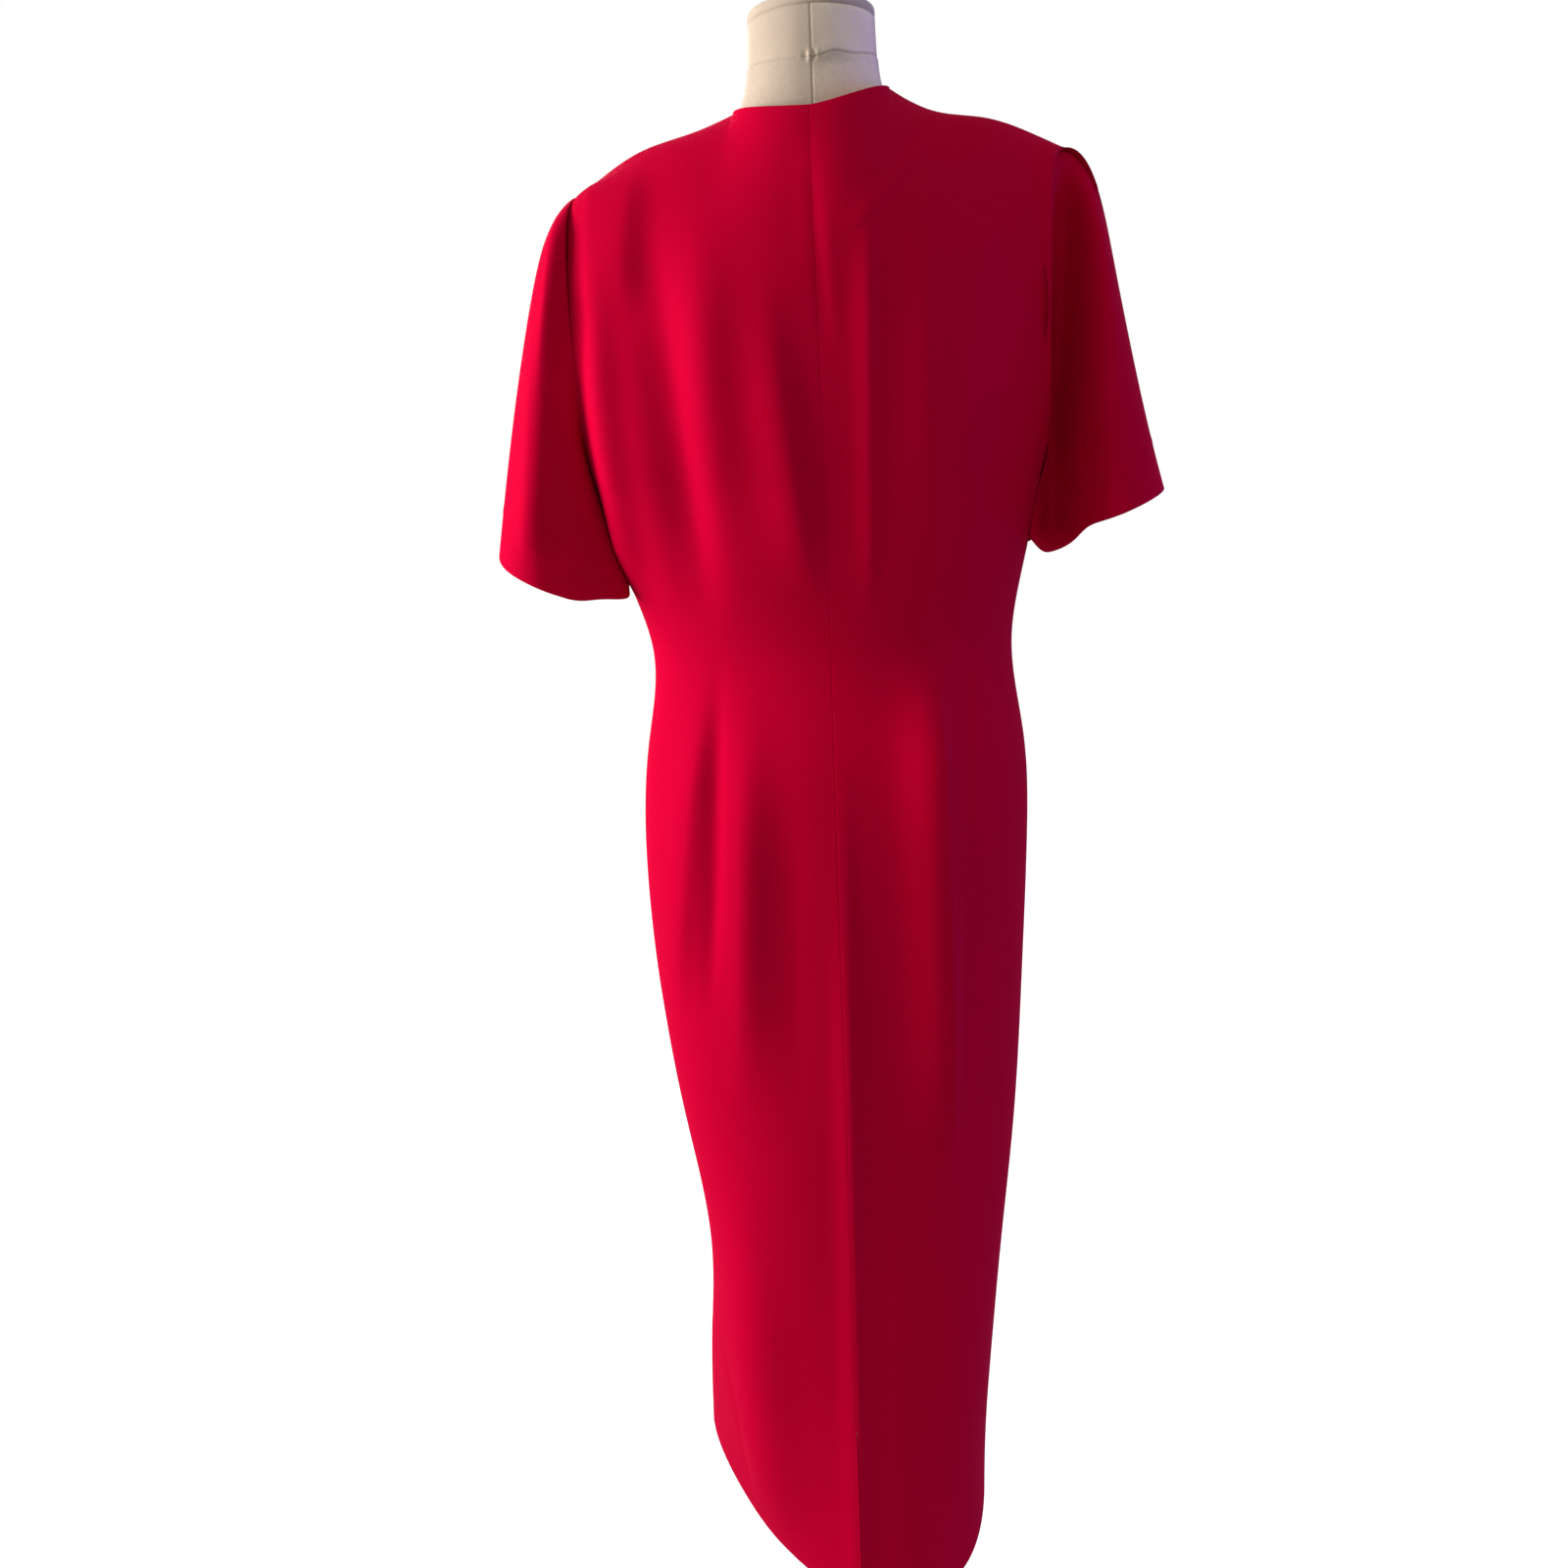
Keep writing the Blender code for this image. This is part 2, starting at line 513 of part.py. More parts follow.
def wall_object(name, outer, normals, closed, material, collection):
    """A wall of cloth between the grid and the same grid moved in. closed joins the last column to the
    first."""
    rows, columns = outer.shape[:2]
    inner = outer - normals * WALL
    vertices = np.concatenate([outer.reshape(-1, 3), inner.reshape(-1, 3)])
    index = np.arange(rows * columns).reshape(rows, columns)
    if closed:
        index = np.hstack([index, index[:, :1]])
    outside = strips(index[:-1, :-1], index[:-1, 1:], index[1:, 1:], index[1:, :-1])
    below = index + rows * columns
    inside = strips(below[:-1, :-1], below[1:, :-1], below[1:, 1:], below[:-1, 1:])
    low = strips(index[0, :-1], below[0, :-1], below[0, 1:], index[0, 1:])
    high = strips(index[-1, :-1], index[-1, 1:], below[-1, 1:], below[-1, :-1])
    faces = outside + inside + low + high
    if not closed:
        faces += strips(index[:-1, 0], index[1:, 0], below[1:, 0], below[:-1, 0])
        faces += strips(index[:-1, -1], below[:-1, -1], below[1:, -1], index[1:, -1])
    if not faces_outwards(outer, normals, outside[0]):
        faces = [face[::-1] for face in faces]
    return new_object(name, vertices, faces, material, collection)


def strips(a, b, c, d):
    """Four-sided faces from four arrays of corners."""
    return np.stack([a, b, c, d], -1).reshape(-1, 4).tolist()


def faces_outwards(points, normals, quad):
    flat = points.reshape(-1, 3)
    a, b, c = flat[quad[0]], flat[quad[1]], flat[quad[2]]
    return np.cross(b - a, c - a) @ normals.reshape(-1, 3)[quad[0]] > 0


def make_dress(materials, collection):
    panels, normals = dress_panels()
    sleeves = {side: sleeve_grid(side, panels, normals) for side in (LEFT, RIGHT)}
    half = SEAM_GAP / 2
    for side, name in ((LEFT, "left"), (RIGHT, "right")):
        points, facing = sleeves[side]
        tube_normals = ring_normals(points)
        down = np.array([0, 0, -SEAM_DIP])
        shared = unit(facing + tube_normals[0] + down)
        tube_normals[0] = shared
        normals["back_" + name][LOWER_ROWS:, -1] = shared[: UPPER_ROWS + 1]
        normals["front_" + name][LOWER_ROWS:, -1] = np.concatenate([shared[:1], shared[:UPPER_ROWS - 1:-1]])
        pull_edge(points, np.s_[0], np.s_[1], SLEEVE_EASE)
        wall_object("sleeve_" + name, points, tube_normals, True, materials["crepe"], collection)
    for name, points in panels.items():
        pull_edge(points, np.s_[:, -1], np.s_[:, -2], half)
        pull_edge(points, np.s_[-1, :], np.s_[-2, :], half)
        if name.startswith("back"):
            pull_edge(points, np.s_[:, 0], np.s_[:, 1], half)
        wall_object(name, points, normals[name], False, materials["crepe"], collection)
    return panels, normals


def make_buttons(panels, normals, material, collection):
    """A row of domed buttons on the upper front, each lying on the panel's own surface."""
    points = panels["front_right"]
    centre = points[:, 1]
    facing = normals["front_right"][:, 1]
    profile = [(radius * BUTTON_RADIUS, height * BUTTON_HEIGHT) for radius, height in BUTTON_PROFILE]
    for number, height in enumerate(np.linspace(TOP_BUTTON, LOWEST_BUTTON, BUTTON_COUNT), start=1):
        place, above, below = (
            np.array([np.interp(h, centre[:, 2], centre[:, axis]) for axis in range(3)])
            for h in (height, height + BUTTON_RADIUS, height - BUTTON_RADIUS)
        )
        normal = unit(np.array([np.interp(height, centre[:, 2], facing[:, axis]) for axis in range(3)]))
        lift = max(0, (above - place) @ normal, (below - place) @ normal) + SEAM_GAP
        button = turned_object(f"button_{number}", profile, BUTTON_SIDES, material, collection)
        button.location = Vector(place + normal * lift)
        button.rotation_mode = "QUATERNION"
        button.rotation_quaternion = Vector(normal).to_track_quat("Z", "Y")


def turned_object(name, profile, steps, material, collection):
    """A solid turned about Z. The profile lists radius and height from the bottom's middle to the top's."""
    vertices = [(radius, 0, height) for radius, height in profile[::-1]]
    edges = [(i, i + 1) for i in range(len(profile) - 1)]
    mesh = bpy.data.meshes.new(name)
    mesh.from_pydata(vertices, edges, [])
    mesh.materials.append(material)
    thing = bpy.data.objects.new(name, mesh)
    collection.objects.link(thing)
    screw = thing.modifiers.new("turn", "SCREW")
    screw.steps = steps
    screw.render_steps = steps
    screw.use_merge_vertices = True
    screw.merge_threshold = 0.0001
    return thing


def make_form(material, collection):
    levels = np.linspace(FORM[0].level, FORM[-1].level, FORM_ROWS + 1)
    s = read(FORM, "level", levels[:, None])
    angle = np.arange(FORM_STEPS) * 2 * math.pi / FORM_STEPS
    power = 2 / s["round"]
    across = np.sign(np.sin(angle)) * np.abs(np.sin(angle)) ** power
    deep = np.abs(np.cos(angle)) ** power
    depth = np.where(np.cos(angle) > 0, s["back"], -s["front"])
    x = s["half"] * across
    y = np.sign(np.cos(angle)) * deep * depth
    z = levels[:, None] + 0 * x
    rings = np.stack([x, y, z], -1)
    rows = len(levels)
    index = np.arange(rows * FORM_STEPS).reshape(rows, FORM_STEPS)
    nxt = np.roll(index, -1, axis=1)
    quads = np.stack([index[:-1], index[1:], nxt[1:], nxt[:-1]], -1).reshape(-1, 4).tolist()
    faces = quads + [index[0].tolist(), index[-1][::-1].tolist()]
    new_object("form_torso", rings.reshape(-1, 3), faces, material, collection)


def make_neck_cap(material, collection):
    """An oval disc on the cut end of the neck, with a rounded edge."""
    top = FORM[-1]
    bpy.ops.mesh.primitive_cylinder_add(vertices=FORM_STEPS, radius=1, depth=NECK_CAP_HEIGHT)
    cap = bpy.context.object
    cap.name = "form_neck_cap"
    for vertex in cap.data.vertices:
        vertex.co.x *= top.half
        vertex.co.y *= top.back if vertex.co.y > 0 else -top.front
    cap.location = (0, 0, top.level + SEAM_GAP + NECK_CAP_HEIGHT / 2)
    bevel = cap.modifiers.new("rounded edge", "BEVEL")
    bevel.width = NECK_CAP_EDGE
    bevel.segments = 2
    take(cap, material, collection)


def make_stand(material, collection):
    """A pole and a round base plate whose flat underside the part stands on."""
    turned_object("stand_base", STAND_PROFILE, STAND_SIDES, material, collection)
    bottom = STAND_PROFILE[-1][1] + SEAM_GAP
    top = FORM[0].level - SEAM_GAP
    bpy.ops.mesh.primitive_cylinder_add(
        vertices=POLE_SIDES,
        radius=POLE_RADIUS,
        depth=top - bottom,
        location=(0, 0, (top + bottom) / 2),
    )
    pole = bpy.context.object
    pole.name = "stand_pole"
    take(pole, material, collection)


def take(thing, material, collection):
    """Moves a new primitive into the part's collection and gives it its material."""
    for other in list(thing.users_collection):
        other.objects.unlink(thing)
    collection.objects.link(thing)
    thing.data.materials.append(material)
    thing.data.shade_smooth()
    thing.data.set_sharp_from_angle(angle=SHARP_ANGLE)


def clear_scene():
    for thing in list(bpy.data.objects):
        bpy.data.objects.remove(thing, do_unlink=True)


def make_material(name, colour, roughness, metallic):
    material = bpy.data.materials.new(name)
    material.use_nodes = True
    shader = material.node_tree.nodes["Principled BSDF"]
    shader.inputs["Base Color"].default_value = (*colour, 1)
    shader.inputs["Roughness"].default_value = roughness
    shader.inputs["Metallic"].default_value = metallic
    return material


def main():
    clear_scene()
    collection = bpy.data.collections.new("coat_dress_on_form")
    bpy.context.scene.collection.children.link(collection)
    materials = {
        "crepe": make_material(*CREPE),
        "button": make_material(*BUTTON_RED),
        "linen": make_material(*LINEN),
        "steel": make_material(*STEEL),
    }
    panels, normals = make_dress(materials, collection)
    make_buttons(panels, normals, materials["button"], collection)
    make_form(materials["linen"], collection)
    make_neck_cap(materials["linen"], collection)
    make_stand(materials["steel"], collection)


main()
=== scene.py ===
import math

import bmesh
import bpy
from mathutils import Matrix, Vector
import numpy as np


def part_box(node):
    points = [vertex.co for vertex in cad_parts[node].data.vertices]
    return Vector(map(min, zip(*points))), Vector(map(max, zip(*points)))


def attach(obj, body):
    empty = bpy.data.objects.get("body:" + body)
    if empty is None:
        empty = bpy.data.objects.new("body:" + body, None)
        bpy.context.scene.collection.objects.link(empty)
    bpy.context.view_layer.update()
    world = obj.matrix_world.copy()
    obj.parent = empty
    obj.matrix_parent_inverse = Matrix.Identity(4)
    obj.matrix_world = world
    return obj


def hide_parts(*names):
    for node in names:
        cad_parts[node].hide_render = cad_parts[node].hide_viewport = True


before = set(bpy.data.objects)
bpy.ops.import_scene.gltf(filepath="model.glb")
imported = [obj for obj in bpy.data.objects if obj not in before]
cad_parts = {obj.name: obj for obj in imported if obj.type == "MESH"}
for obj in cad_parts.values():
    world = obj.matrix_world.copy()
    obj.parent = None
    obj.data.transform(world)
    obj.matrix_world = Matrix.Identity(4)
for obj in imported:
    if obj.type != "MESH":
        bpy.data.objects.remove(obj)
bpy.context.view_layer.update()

print("frame in, nodes:", len(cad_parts))

left, right = 1, -1  # the wearer's left is +X
sideNames = {left: "left", right: "right"}


# Natural cubic curve through the values at rising stations: a straight blend of two neighbours
# plus the bend that keeps slope and curvature even.
def smoothCurve(stations, values, at):
    x = np.asarray(stations, float)
    y = np.asarray(values, float)
    gap = np.diff(x)
    count = len(x)
    matrix = np.eye(count)
    rightSide = np.zeros(count)
    for i in range(1, count - 1):
        matrix[i, i - 1:i + 2] = gap[i - 1], 2 * (gap[i - 1] + gap[i]), gap[i]
        rightSide[i] = 6 * ((y[i + 1] - y[i]) / gap[i] - (y[i] - y[i - 1]) / gap[i - 1])
    bend = np.linalg.solve(matrix, rightSide)
    k = np.clip(np.searchsorted(x, at) - 1, 0, count - 2)
    a = (x[k + 1] - at) / gap[k]
    b = (at - x[k]) / gap[k]
    return a * y[k] + b * y[k + 1] + ((a**3 - a) * bend[k] + (b**3 - b) * bend[k + 1]) * gap[k]**2 / 6


# Every other column of a table, read along its key column.
def readTable(table, key, at):
    columns, rows = table["columns"], np.array(table["rows"], float)
    keys = rows[:, columns.index(key)]
    return {name: smoothCurve(keys, rows[:, i], at) for i, name in enumerate(columns) if name != key}


# Cubic between a and d that leaves towards b and arrives from c.
def cubicBetween(a, b, c, d, t):
    s = 1 - t
    return s**3 * a + 3 * s**2 * t * b + 3 * s * t**2 * c + t**3 * d


# 0 up to 0, 1 from 1, and a smooth step between.
def softStep(x):
    x = np.clip(x, 0, 1)
    return x * x * (3 - 2 * x)


# 1 at 0, falling off to both sides as a bell of the given width.
def bell(away, width):
    return np.exp(-(away / width)**2)


# Vectors divided by their lengths.
def unitVectors(vectors):
    return vectors / np.maximum(np.linalg.norm(vectors, axis=-1, keepdims=True), 1e-12)


# Stations from 0 to 1 that stand closer together around each place in near: the running sum of a
# density that is 1, with a bump of the given height and width at each place.
def densely(count, near=(), height=4.0, width=0.02):
    fine = np.linspace(0, 1, 4001)
    density = np.ones_like(fine)
    for place in near:
        density += height * bell(fine - place, width)
    total = np.concatenate([[0], np.cumsum((density[1:] + density[:-1]) / 2)])
    return np.interp(np.linspace(0, 1, count + 1), total / total[-1], fine)


dressCut = {
    "underarm": 1.205,
    "lap": 0.02,  # each front reaches this far past the centre
    "lapLift": 0.0028,  # the upper front lies this far over the under one
    "lapFade": 0.06,
    "cloth": 0.0006,  # thickness of the crepe
    "lowerRows": 200,
    "upperRows": 96,
    "backColumns": 116,
    "closeColumns": (0, 0.3, 1.0),  # a back's columns stand closer together here
    "frontColumns": 84,
    "nape": (0.003, 0.064, 1.487),
    "neckShare": 4 / 13,  # part of a back's top edge that is neckline
    "neckRise": {left: 2.0, right: 1.4},
    "seamLean": 4,  # power of the way up with which a back's lines take to its top edge
    "cornerLean": 18,  # and to the corner where its neckline meets the shoulder seam
    "cornerBlur": 0.09,
}

# One row for each level section: its height at the side seams, half widths, depths of the centre
# lines and of the side seams, the power of each quarter's curve, and how far it drops to the back.
levelSections = {
    "columns": ("level", "left", "right", "back", "front", "side", "leftRound", "rightRound",
                "frontRound", "tilt"),
    "rows": [
        (0.205, 0.156, 0.129, 0.123, -0.155, -0.065, 1.35, 3.00, 2.0, 0.26),
        (0.31, 0.151, 0.131, 0.119, -0.152, -0.045, 1.65, 2.6, 2.0, 0.12),
        (0.4, 0.143, 0.136, 0.117, -0.148, -0.02, 1.9, 2.5, 2.0, 0.07),
        (0.49, 0.137, 0.144, 0.115, -0.143, -0.005, 2.15, 2.45, 2.0, 0.03),
        (0.62, 0.154, 0.157, 0.118, -0.138, 0, 2.2, 2.3, 2.0, 0),
        (0.78, 0.172, 0.165, 0.126, -0.134, 0, 2.2, 2.4, 2.1, 0),
        (0.9, 0.175, 0.169, 0.134, -0.13, 0, 2.15, 2.4, 2.1, 0),
        (0.985, 0.167, 0.166, 0.122, -0.124, 0, 2.1, 2.4, 2.1, 0),
        (1.065, 0.158, 0.157, 0.095, -0.117, 0, 2.1, 2.1, 2.1, 0),
        (1.13, 0.176, 0.167, 0.099, -0.128, 0, 2.2, 2.2, 2.1, 0),
        (1.205, 0.196, 0.183, 0.108, -0.143, 0, 2.35, 2.25, 2.2, 0),
    ],
}

# Points of each shoulder seam from the neck to its tip: share of the way, x outwards, y and z.
shoulderSeams = {
    left: [(0, 0.065, 0.012, 1.496), (0.22, 0.096, 0.012, 1.485), (0.5, 0.137, 0.009, 1.475),
           (0.78, 0.172, 0.003, 1.459), (1.00, 0.198, -0.002, 1.443)],
    right: [(0, 0.061, 0.012, 1.508), (0.22, 0.094, 0.012, 1.491), (0.5, 0.137, 0.009, 1.484),
            (0.78, 0.177, 0.003, 1.471), (1.00, 0.201, -0.002, 1.461)],
}

# How a line of cloth rises from the underarm level to the neck or shoulder, from the centre (0) to
# the armhole (1): rise and lean of its start, and how far its end comes over, drop and inset.
upperColumns = ("turn", "rise", "lean", "over", "drop", "leftInset", "rightInset")
upperLines = {
    "back": {"columns": upperColumns, "rows": [
        (0, 0.1, 0.008, 0.05, 0.07, 0, 0),
        (0.3, 0.1, 0.008, 0.06, 0.054, 0, 0),
        (0.6, 0.1, 0.01, 0.074, 0.036, 0.004, 0.007),
        (0.85, 0.08, 0.03, 0.082, 0.02, 0.002, 0.018),
        (1.00, 0.03, 0.07, 0.082, 0.002, -0.006, 0.03),
    ]},
    "front": {"columns": upperColumns, "rows": [
        (0, 0.085, 0.014, 0.1, 0.06, -0.006, -0.006),
        (0.35, 0.1, 0.014, 0.1, 0.046, 0, 0),
        (0.65, 0.095, 0.016, 0.092, 0.042, 0.014, 0.014),
        (0.88, 0.07, 0.035, 0.084, 0.026, 0.028, 0.028),
        (1.00, 0.028, 0.074, 0.082, 0.004, 0.036, 0.036),
    ]},
}


# A quarter of a level section: across is the half width times sine to a power, deep is the depth
# times cosine to the same power, and the height falls by the tilt times the depth.
def lowerPoints(side, face, level, turn):
    s = readTable(levelSections, "level", level)
    if face == "back":
        power = 2 / s[sideNames[side] + "Round"]
    else:
        power = 2 / s["frontRound"]
    angle = turn * math.pi / 2
    across = np.sign(angle) * np.abs(np.sin(angle))**power
    x = side * s[sideNames[side]] * across
    y = s["side"] + (s[face] - s["side"]) * np.abs(np.cos(angle))**power
    return np.stack([x, y, level - s["tilt"] * y], -1)


# Smooth curves through the places of a shoulder seam.
def shoulderPoints(side, share):
    shares, *places = np.array(shoulderSeams[side]).T
    x, y, z = (smoothCurve(shares, values, share) for values in places)
    return np.stack([side * x, y, z], -1)


# Top edge of a back: a quarter of an ellipse round the neck, then the shoulder seam.
def backTops(side, share):
    neckShare = dressCut["neckShare"]
    nape = np.array(dressCut["nape"])
    neck = shoulderPoints(side, np.zeros(1))[0]
    angle = np.clip(share / neckShare, 0, 1) * math.pi / 2
    x = nape[0] + (neck[0] - nape[0]) * np.sin(angle)
    y = neck[1] + (nape[1] - neck[1]) * np.cos(angle)
    z = nape[2] + (neck[2] - nape[2]) * np.sin(angle)**dressCut["neckRise"][side]
    onNeck = np.stack([x, y, z], -1)
    onShoulder = shoulderPoints(side, np.clip((share - neckShare) / (1 - neckShare), 0, 1))
    return np.where((share < neckShare)[:, None], onNeck, onShoulder)


# Smooth line across the top of a back that its upper lines are drawn to, from the nape to the shoulder
# tip: straight in x, and a level value plus two cosines in depth and height, level at both ends and
# through the shoulder seam's middle.
def backGuide(side, share):
    nape = np.array(dressCut["nape"])
    middle, tip = shoulderPoints(side, np.array([0.5, 1.0]))
    stations = np.array([0, 1 - (1 - dressCut["neckShare"]) / 2, 1])
    waves = np.cos(math.pi * stations[:, None] * np.arange(3))
    sizes = np.linalg.solve(waves, np.stack([nape, middle, tip]))
    guide = np.cos(math.pi * share[:, None] * np.arange(3)) @ sizes
    guide[:, 0] = nape[0] + (tip[0] - nape[0]) * share
    return guide


# Weighted mean of neighbours with a bell of the given width, dying out over each end's share so that
# the ends stay.
def blurred(values, share, width, ends=0.2):
    weights = bell(share[:, None] - share, width) * np.gradient(share)
    mean = weights @ values / weights.sum(axis=1, keepdims=True)
    inner = (softStep(share / ends) * softStep((1 - share) / ends))[:, None]
    return values + (mean - values) * inner


# Turn, at each level, of the line that lies the lap's width past the centre of the fronts.
def lapTurn(side, level):
    s = readTable(levelSections, "level", level)
    return -np.arcsin((dressCut["lap"] / s[sideNames[side]])**(s["frontRound"] / 2)) * 2 / math.pi


# A whole back or front: rows from the hem up to the neckline and shoulder, columns from the centre out.
def panelPoints(side, face):
    cut = dressCut
    bottom = levelSections["rows"][0][0]
    level = np.linspace(bottom, cut["underarm"], cut["lowerRows"] + 1)[:, None]
    if face == "back":
        share = densely(cut["backColumns"], near=cut["closeColumns"], height=2.5, width=0.04)
        tops = backTops(side, share)
        guide = backGuide(side, share)
        turn = share[None, :] + 0 * level
    else:
        share = np.linspace(0, 1, cut["frontColumns"] + 1)
        tops = shoulderPoints(side, share)
        guide = tops
        edge = lapTurn(side, level)
        turn = edge + (1 - edge) * share[None, :]
    lower = lowerPoints(side, face, level + 0 * turn, turn)
    lines = readTable(upperLines[face], "turn", share)
    start = lower[-1]
    slope = (lower[-1] - lower[-2]) / (level[-1] - level[-2])
    outward = 1 if face == "back" else -1
    lean = np.stack([0 * share, outward * lines["lean"], 0 * share], -1)
    rise = slope * lines["rise"][:, None] + lean
    inset = lines[sideNames[side] + "Inset"]
    fall = np.stack([-side * inset, outward * lines["over"], -lines["drop"]], -1)
    t = np.linspace(0, 1, cut["upperRows"] + 1)[1:, None, None]
    upper = cubicBetween(start, start + rise, guide + fall, guide, t)
    broad = blurred(tops - guide, share, cut["cornerBlur"])
    upper = upper + broad * t**cut["seamLean"] + (tops - guide - broad) * t**cut["cornerLean"]
    return np.concatenate([lower, upper]), share


foldColumns = ("topX", "topZ", "bottomX", "bottomZ", "bow", "leftWidth", "rightWidth", "height",
               "topFade", "bottomFade")

# Each fold runs down from its top to its bottom and swings out by bow at mid length. It stands out
# by height, or in where that is negative. Widths are towards +X and towards -X, and each end
# fades over its share of the length.
backFolds = [
    # deep hollow beside the left armhole, down into the dart
    (0.136, 1.43, 0.102, 1.07, 0, 0.026, 0.018, -0.011, 0.4, 0.35),
    # edge of the left shoulder's padding, then the ridge along the armhole
    (0.146, 1.47, 0.156, 1.33, 0, 0.036, 0.015, 0.006, 0.45, 0.35),
    (0.175, 1.4, 0.164, 1.11, 0.006, 0.014, 0.012, 0.0085, 0.4, 0.2),
    (0.18, 1.475, 0.176, 1.3, 0, 0.012, 0.03, 0.0045, 0.3, 0.5),
    (0.09, 1.44, 0.086, 1.15, 0, 0.018, 0.02, 0.0042, 0.45, 0.6),
    (0.044, 1.37, 0.014, 1.1, 0, 0.022, 0.014, 0.0056, 0.45, 0.35),
    (0.022, 1.48, 0.024, 1.34, 0, 0.06, 0.024, -0.0034, 0.3, 0.5),
    # edges of the neck's facing pressed through
    (-0.092, 1.462, -0.024, 1.385, -0.004, 0.012, 0.0025, 0.001, 0.2, 0.2),
    # narrow crease below the nape
    (0.003, 1.445, -0.006, 1.27, 0, 0.005, 0.006, -0.0006, 0.15, 0.5),
    (-0.007, 1.42, -0.013, 1.29, 0, 0.007, 0.006, 0.0004, 0.4, 0.4),
    # long soft ridges right of the centre
    (-0.04, 1.43, -0.034, 1.09, 0, 0.01, 0.005, 0.003, 0.3, 0.3),
    (-0.082, 1.43, -0.08, 1.16, 0, 0.014, 0.008, 0.0018, 0.3, 0.4),
    (-0.118, 1.44, -0.112, 0.96, 0, 0.07, 0.03, 0.0055, 0.45, 0.45),
    (-0.15, 1.43, -0.12, 1.1, 0, 0.02, 0.02, -0.004, 0.4, 0.4),
    # hip, left
    (0.106, 1.05, 0.152, 0.72, 0, 0.02, 0.01, 0.0045, 0.3, 0.4),
    (0.094, 1.08, 0.12, 0.73, -0.004, 0.009, 0.008, -0.0045, 0.35, 0.4),
    (0.066, 1.06, 0.092, 0.64, 0, 0.015, 0.018, 0.0055, 0.35, 0.5),
    (0.036, 0.99, 0.044, 0.6, 0, 0.02, 0.016, -0.0022, 0.3, 0.5),
    # long keel down the centre of the skirt
    (-0.008, 1.01, 0, 0.12, 0, 0.014, 0.007, 0.0048, 0.35, 0.15),
    # hip, right
    (-0.083, 1.08, -0.091, 0.54, 0, 0.027, 0.01, 0.014, 0.22, 0.45),
    (-0.109, 1.09, -0.112, 0.86, 0, 0.005, 0.005, -0.0012, 0.25, 0.4),
    # lower skirt: corners where it hangs clear, and a crease near the hem
    (0.104, 0.64, 0.078, 0.15, 0, 0.03, 0.03, 0.012, 0.5, 0.3),
    (-0.1, 0.6, -0.096, 0.19, 0, 0.024, 0.03, 0.008, 0.5, 0.45),
    (0.127, 0.41, 0.104, 0.225, -0.004, 0.005, 0.005, -0.0014, 0.25, 0.15),
]
frontFolds = [
    (0.098, 1.01, 0.11, 0.64, 0, 0.018, 0.018, 0.005, 0.4, 0.4),
    (0.06, 0.98, 0.066, 0.4, 0, 0.02, 0.02, -0.005, 0.3, 0.4),
    (0.122, 1.4, 0.096, 1.18, 0.006, 0.016, 0.016, -0.004, 0.4, 0.4),
    (-0.096, 1.01, -0.106, 0.6, 0, 0.018, 0.018, 0.005, 0.4, 0.4),
    (-0.062, 0.96, -0.07, 0.44, 0, 0.018, 0.022, -0.005, 0.3, 0.4),
    (-0.124, 1.4, -0.098, 1.17, -0.006, 0.016, 0.016, -0.004, 0.4, 0.4),
]


# Folds of the sleeves in the same columns, for the side that faces back and the side that faces front.
sleeveFolds = {
    left: {
        "back": [
            (0.214, 1.33, 0.206, 1.13, 0, 0.03, 0.02, 0.003, 0.4, 0.1),
            (0.216, 1.445, 0.256, 1.13, 0, 0.013, 0.022, 0.01, 0.15, 0.2),
            (0.204, 1.452, 0.233, 1.27, 0, 0.006, 0.016, 0.006, 0.25, 0.5),
        ],
        "front": [
            (0.212, 1.4, 0.216, 1.15, 0.004, 0.014, 0.014, -0.008, 0.3, 0.2),
            (0.216, 1.43, 0.248, 1.13, 0, 0.014, 0.018, 0.005, 0.3, 0.2),
        ],
    },
    right: {
        "back": [
            (-0.202, 1.49, -0.191, 1.13, 0, 0.016, 0.02, -0.047, 0.26, 0.1),
            (-0.226, 1.44, -0.228, 1.15, 0, 0.008, 0.012, 0.0015, 0.2, 0.2),
        ],
        "front": [
            (-0.21, 1.44, -0.204, 1.15, 0.004, 0.012, 0.014, -0.014, 0.2, 0.2),
            (-0.23, 1.4, -0.232, 1.15, 0, 0.014, 0.018, 0.005, 0.3, 0.2),
        ],
    },
}


# Sum of the folds at each point: a bell across the fold's line times a soft start and end along it.
def foldHeights(x, z, folds):
    total = np.zeros(x.shape)
    for row in folds:
        f = dict(zip(foldColumns, row))
        down = np.clip((f["topZ"] - z) / (f["topZ"] - f["bottomZ"]), 0, 1)
        line = f["topX"] + (f["bottomX"] - f["topX"]) * down + f["bow"] * np.sin(math.pi * down)
        away = x - line
        width = np.where(away > 0, f["leftWidth"], f["rightWidth"])
        ends = softStep(down / f["topFade"]) * softStep((1 - down) / f["bottomFade"])
        total += f["height"] * bell(away, width) * ends
    return total


# Unit normals from the two grid directions, turned to face out of the dress.
def outwardNormals(points, aroundTube=False):
    if aroundTube:
        across = np.roll(points, -1, axis=1) - np.roll(points, 1, axis=1)
        outward = points - points.mean(axis=1, keepdims=True)
    else:
        across = np.gradient(points, axis=1)
        outward = points * (1, 1, 0)
    normals = unitVectors(np.cross(across, np.gradient(points, axis=0)))
    third = points.shape[0] // 3
    facing = (normals[third] * outward[third]).sum()
    return normals if facing > 0 else -normals


# Shares of the width or the height over which the folds die out.
foldFade = {"side": 0.12, "armhole": 0.05, "top": 0.1, "cap": 0.05, "facing": 0.35}
